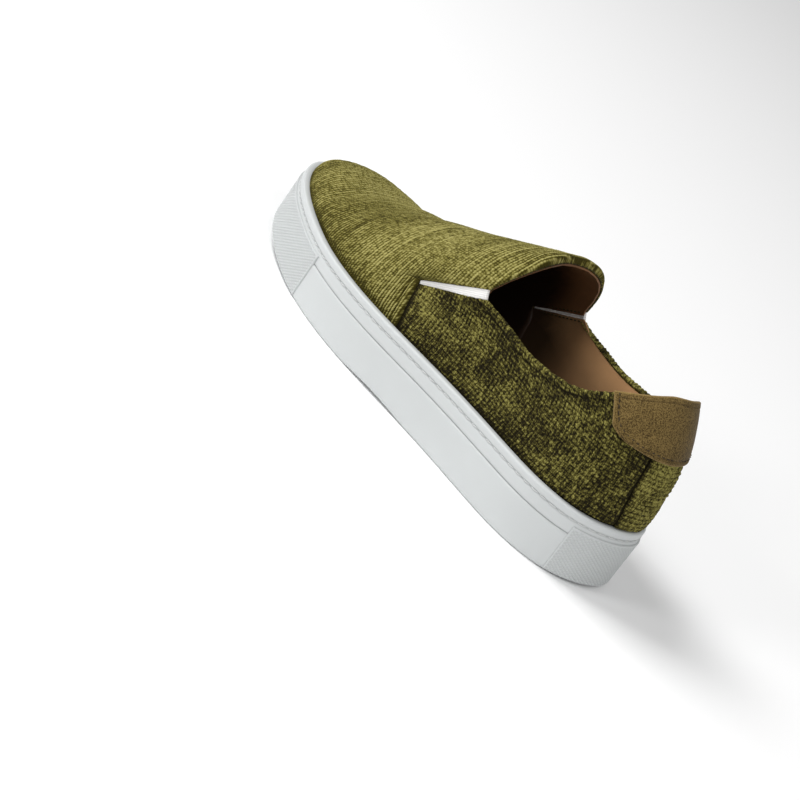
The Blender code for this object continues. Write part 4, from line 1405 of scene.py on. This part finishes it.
def make_strip(finish, sizes):
    """Back strip over the heel seam: a sheet with level ribs, proud of the quarters, narrower at the rim."""
    rows, columns = GRID["back_strip"]
    across = np.linspace(-1, 1, columns)[None, :]
    climb = np.linspace(0, 1, rows)[:, None]
    low = -BELOW_RIM / DROP_PER_TURN
    middle = last_point(0 * climb, low + (turn_at(0 * climb, collar(0 * climb)) - low) * climb)
    angle = across * strip_edge(middle[..., 2])
    turn = low + (turn_at(angle, collar(angle)) - low) * climb
    base = last_point(angle, turn)
    out = facing(base, BACK)
    z = base[..., 2]
    run = chain(base, 1)
    rise = chain(base[::-1], 0)[::-1]
    edge = np.minimum(np.minimum(run, run[:, -1:] - run), rise)
    row = sizes.strip_row / METRES
    counts = np.stack([run / (0.9 * row), (z + 0.4 * noise(base, 5.0, 41)) / row], -1)
    coarse, fine, own = knit_tufts(counts, (43, 46), 0.6)
    level = 0.5 - 0.5 * np.cos(2 * np.pi * counts[..., 1])
    rib = 0.2 * level + 0.35 * coarse + 0.45 * fine
    lift = STRIP_LAP + STRIP_PROUD - rounded(edge, ROUND["back_strip"]) + heel_bulge(angle, z)
    lift += STRIP_RELIEF * sizes.rib_height / METRES * (rib - 0.4)
    tone = own + 0.2 * noise(base, 6.0, 44) + STRIP_TONE
    # Painted shade just above the rim and along the strip's edges
    tone += ridge(z - rim(share_of(angle)), STRIP_RIM_SHADE) + ridge(edge, STRIP_EDGE_SHADE)
    outer = base + out * lift[..., None]
    make_cloth("back_strip", outer, base - out * STRIP_CLOTH, finish, (rib, tone, run, z))


def tab_surface(climb, across):
    """Points, outward directions and inner offsets of the heel tab, whose two lower corners are rounded.

    climb runs from 0 at its foot to 1 at the collar, and across from -1 to 1."""
    corner = TAB_CORNER * np.clip(1 - climb / TAB_CORNER_RISE, 0, 1) ** 3
    angle = across * (TAB_TOP_ANGLE - TAB_TAPER * (1 - climb) - corner)
    turn = turn_at(angle, TAB_FOOT + (collar(angle) + TAB_OVER - TAB_FOOT) * climb)
    off_strip = smoothstep(STRIP_HALF_ANGLE + TAB_EASE[0], STRIP_HALF_ANGLE + TAB_EASE[1], np.abs(angle))
    return last_point(angle, turn), outward(angle, turn), TAB_GAP + STRIP_LAP * (1 - off_strip)


def make_tab(finish, thread, sizes):
    """Heel tab: a suede patch with rounded edges and one row of stitches inside them.

    The row runs down one side, round the lower corners and up the other, as a squared ellipse."""
    rows, columns = GRID["heel_patch"]
    base, out, inside = tab_surface(np.linspace(0, 1, rows)[:, None], np.linspace(-1, 1, columns)[None, :])
    run = chain(base, 1)
    rise = chain(base, 0)
    from_top = rise[-1:] - rise
    edge = np.minimum(np.minimum(run, run[:, -1:] - run), np.minimum(rise, from_top))
    lift = inside + TAB_THICKNESS - rounded(edge, ROUND["heel_patch"]) + 0.12 * noise(base, 7.0, 51)
    lift += ridge(edge, TAB_GROOVE) * (from_top > TAB_GROOVE[1])
    points, faces = shell(base + out * lift[..., None], base + out * (inside - TAB_SUNK)[..., None])
    # Painted highlight along the tab's edge
    values = {"edge_highlight": sheet_values(ridge(edge, TAB_EDGE_HIGHLIGHT))}
    make_piece("heel_patch", points, faces, finish, "suede", "heel_tab", values)
    reach, drop, power = TAB_STITCH
    swing = np.linspace(-np.pi / 2, np.pi / 2, 600)
    across = reach * np.sign(swing) * np.abs(np.sin(swing)) ** power
    base, out, inside = tab_surface(1 - drop * np.abs(np.cos(swing)) ** power, across)
    path = base + out * (inside + TAB_THICKNESS - TAB_THREAD_SUNK)[..., None]
    row = stitch_row(path, out, sizes.seam_stitch / METRES, *STITCHES["tab"])
    make_piece("tab_stitches", *row, thread, "suede")


# Stage

def floor_material(colour):
    """Painted floor: matt, with roller marks too faint to see from here."""
    material, tree, shader = start_material("painted studio floor")
    place = add(tree, "ShaderNodeTexCoord").outputs["Object"]
    marks = add(
        tree, "ShaderNodeTexNoise", {"Vector": place, "Scale": 1 / 0.05, "Detail": 2.0}
    ).outputs["Fac"]
    bump = add(tree, "ShaderNodeBump", {"Strength": 0.02, "Distance": 0.001, "Height": marks}).outputs[0]
    set_shader(tree, shader, Base_Color=(*colour, 1), Normal=bump, Roughness=0.9, Specular_IOR_Level=0.1)
    return material


def make_floor(colour):
    """A pale square under the shoe, far larger than the view."""
    corners = [(x * FLOOR_HALF, y * FLOOR_HALF, 0) for x, y in ((-1, -1), (1, -1), (1, 1), (-1, 1))]
    mesh = bpy.data.meshes.new("floor")
    mesh.from_pydata(corners, [], [(0, 1, 2, 3)])
    mesh.materials.append(floor_material(colour))
    floor = bpy.data.objects.new("floor", mesh)
    floor.location.z = -FLOOR_DROP
    bpy.context.scene.collection.objects.link(floor)


def put_on_stage(name, data, aside, above, behind, place):
    """Links a light or a camera that looks away from behind, with its sides along aside and above."""
    thing = bpy.data.objects.new(name, data)
    thing.matrix_world = Matrix(np.vstack([np.column_stack([aside, above, behind, place]), [0, 0, 0, 1]]))
    bpy.context.scene.collection.objects.link(thing)
    return thing


def make_lights():
    """Even white surroundings and square lights that look at the origin."""
    world = bpy.data.worlds.new("white studio")
    world.use_nodes = True
    world.node_tree.nodes["Background"].inputs["Color"].default_value = (1, 1, 1, 1)
    world.node_tree.nodes["Background"].inputs["Strength"].default_value = SURROUNDINGS
    bpy.context.scene.world = world
    for name, (place, size, power) in LIGHTS.items():
        data = bpy.data.lights.new(name, "AREA")
        data.energy = power
        data.size = size
        behind = np.array(place) / np.linalg.norm(place)
        aside = np.cross(UP, behind)
        aside = aside / np.linalg.norm(aside)
        put_on_stage(name, data, aside, np.cross(behind, aside), behind, place)


def make_camera():
    """The camera of the photograph."""
    data = bpy.data.cameras.new("camera")
    data.sensor_width = CAMERA_SENSOR
    data.lens = CAMERA_LENS
    data.clip_end = CAMERA_REACH
    place = (np.array(CAMERA_PLACE) + [0, ACROSS, 0]) * METRES
    scene = bpy.context.scene
    scene.camera = put_on_stage("camera", data, CAMERA_RIGHT, CAMERA_UP, CAMERA_BACK, place)
    scene.view_settings.view_transform = "Standard"


# Operators

class SHOE_OT_sole(bpy.types.Operator):
    """Makes the cup sole, its stitches and its two bumpers"""

    bl_idname = "shoe.sole"
    bl_label = "Cup sole"

    def execute(self, context):
        colours = context.scene.shoe_colours
        sizes = context.scene.shoe_sizes
        rubber = rubber_material("white moulded rubber", colours.rubber)
        thread = thread_material("white sole thread", colours.sole_thread)
        pitch = sizes.hatch / METRES
        toe = angle_of(TOE_BUMPER_FROM)
        heel = angle_of(HEEL_BUMPER_TO)
        make_sole(rubber)
        make_sole_stitches(thread, sizes.sole_stitch / METRES)
        make_bumper("toe_bumper", toe, 2 * np.pi - toe, rubber, pitch)
        make_bumper("heel_bumper", -heel, heel, rubber, pitch)
        return {"FINISHED"}


class SHOE_OT_vamp(bpy.types.Operator):
    """Makes the vamp with its tongue, lining and stitches"""

    bl_idname = "shoe.vamp"
    bl_label = "Vamp and tongue"

    def execute(self, context):
        colours = context.scene.shoe_colours
        sizes = context.scene.shoe_sizes
        shades = (colours.vamp_low, colours.vamp_mid, colours.vamp_high)
        stitch = (sizes.vamp_rib, 0.8 * sizes.vamp_rib)
        knit = knit_material("ribbed chenille knit", *shades, stitch, 0.7)
        thread = thread_material("dark sewing thread", colours.dark_thread)
        make_vamp(knit, thread, sizes)
        make_vamp_lining(leather_material("lining leather darkened as painted shade", colours.vamp_lining))
        make_gore_stitches(thread, sizes.seam_stitch / METRES)
        return {"FINISHED"}


class SHOE_OT_quarters(bpy.types.Operator):
    """Makes both quarters, the back strip and their lining"""

    bl_idname = "shoe.quarters"
    bl_label = "Quarters and back strip"

    def execute(self, context):
        colours = context.scene.shoe_colours
        sizes = context.scene.shoe_sizes
        shades = (colours.quarter_low, colours.quarter_mid, colours.quarter_high)
        stitch = (0.4 * sizes.quarter_rib, 0.6 * sizes.quarter_row)
        knit = knit_material("waffle chenille knit", *shades, stitch, 0.35)
        make_quarter("quarter_lateral", 1, knit, sizes)
        make_quarter("quarter_medial", -1, knit, sizes)
        make_strip(knit, sizes)
        make_back_lining(leather_material("tan lining leather", colours.lining))
        return {"FINISHED"}


class SHOE_OT_tab(bpy.types.Operator):
    """Makes the suede heel tab with its stitches"""

    bl_idname = "shoe.tab"
    bl_label = "Heel tab"

    def execute(self, context):
        colours = context.scene.shoe_colours
        suede = suede_material("brushed suede", colours.suede_low, colours.suede_high)
        thread = thread_material("suede sewing thread", colours.suede_thread)
        make_tab(suede, thread, context.scene.shoe_sizes)
        return {"FINISHED"}


class SHOE_OT_solids(bpy.types.Operator):
    """Makes the elastic of both gores and gives the insole, which keeps its solid, its material"""

    bl_idname = "shoe.solids"
    bl_label = "Gores and insole"

    def execute(self, context):
        colours = context.scene.shoe_colours
        elastic = elastic_material("woven elastic", colours.elastic)
        make_elastic("elastic_lateral", 1, "gore_lateral", elastic)
        make_elastic("elastic_medial", -1, "gore_medial", elastic)
        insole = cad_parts["insole"].data
        insole.materials.clear()
        insole.materials.append(leather_material("footbed leather darkened as painted shade", colours.insole))
        return {"FINISHED"}


class SHOE_OT_stage(bpy.types.Operator):
    """Makes the floor, the lights and the camera"""

    bl_idname = "shoe.stage"
    bl_label = "Stage"

    def execute(self, context):
        make_floor(context.scene.shoe_colours.floor)
        make_lights()
        make_camera()
        return {"FINISHED"}


OPERATORS = (SHOE_OT_sole, SHOE_OT_vamp, SHOE_OT_quarters, SHOE_OT_tab, SHOE_OT_solids, SHOE_OT_stage)


class SHOE_PT_pieces(bpy.types.Panel):
    """Lists the shoe's pieces, sizes and colours"""

    bl_idname = "SHOE_PT_pieces"
    bl_label = "Slip-on shoe"
    bl_space_type = "VIEW_3D"
    bl_region_type = "UI"
    bl_category = "Shoe"

    def draw(self, context):
        for operator in OPERATORS:
            self.layout.operator(operator.bl_idname)
        for group in (context.scene.shoe_sizes, context.scene.shoe_colours):
            for name in group.bl_rna.properties.keys():
                if name not in ("rna_type", "name"):
                    self.layout.prop(group, name)


CLASSES = (ShoeSizes, ShoeColours, *OPERATORS, SHOE_PT_pieces)


def register():
    """Registers the classes and puts the sizes and colours on the scene."""
    for kind in CLASSES:
        bpy.utils.register_class(kind)
    bpy.types.Scene.shoe_sizes = PointerProperty(type=ShoeSizes)
    bpy.types.Scene.shoe_colours = PointerProperty(type=ShoeColours)


def unregister():
    """Takes the sizes and colours off the scene and removes the classes."""
    del bpy.types.Scene.shoe_colours
    del bpy.types.Scene.shoe_sizes
    for kind in reversed(CLASSES):
        bpy.utils.unregister_class(kind)


def main():
    """Makes every piece in order."""
    register()
    bpy.ops.shoe.sole()
    bpy.ops.shoe.vamp()
    bpy.ops.shoe.quarters()
    bpy.ops.shoe.tab()
    bpy.ops.shoe.solids()
    bpy.ops.shoe.stage()


if __name__ == "__main__":
    main()
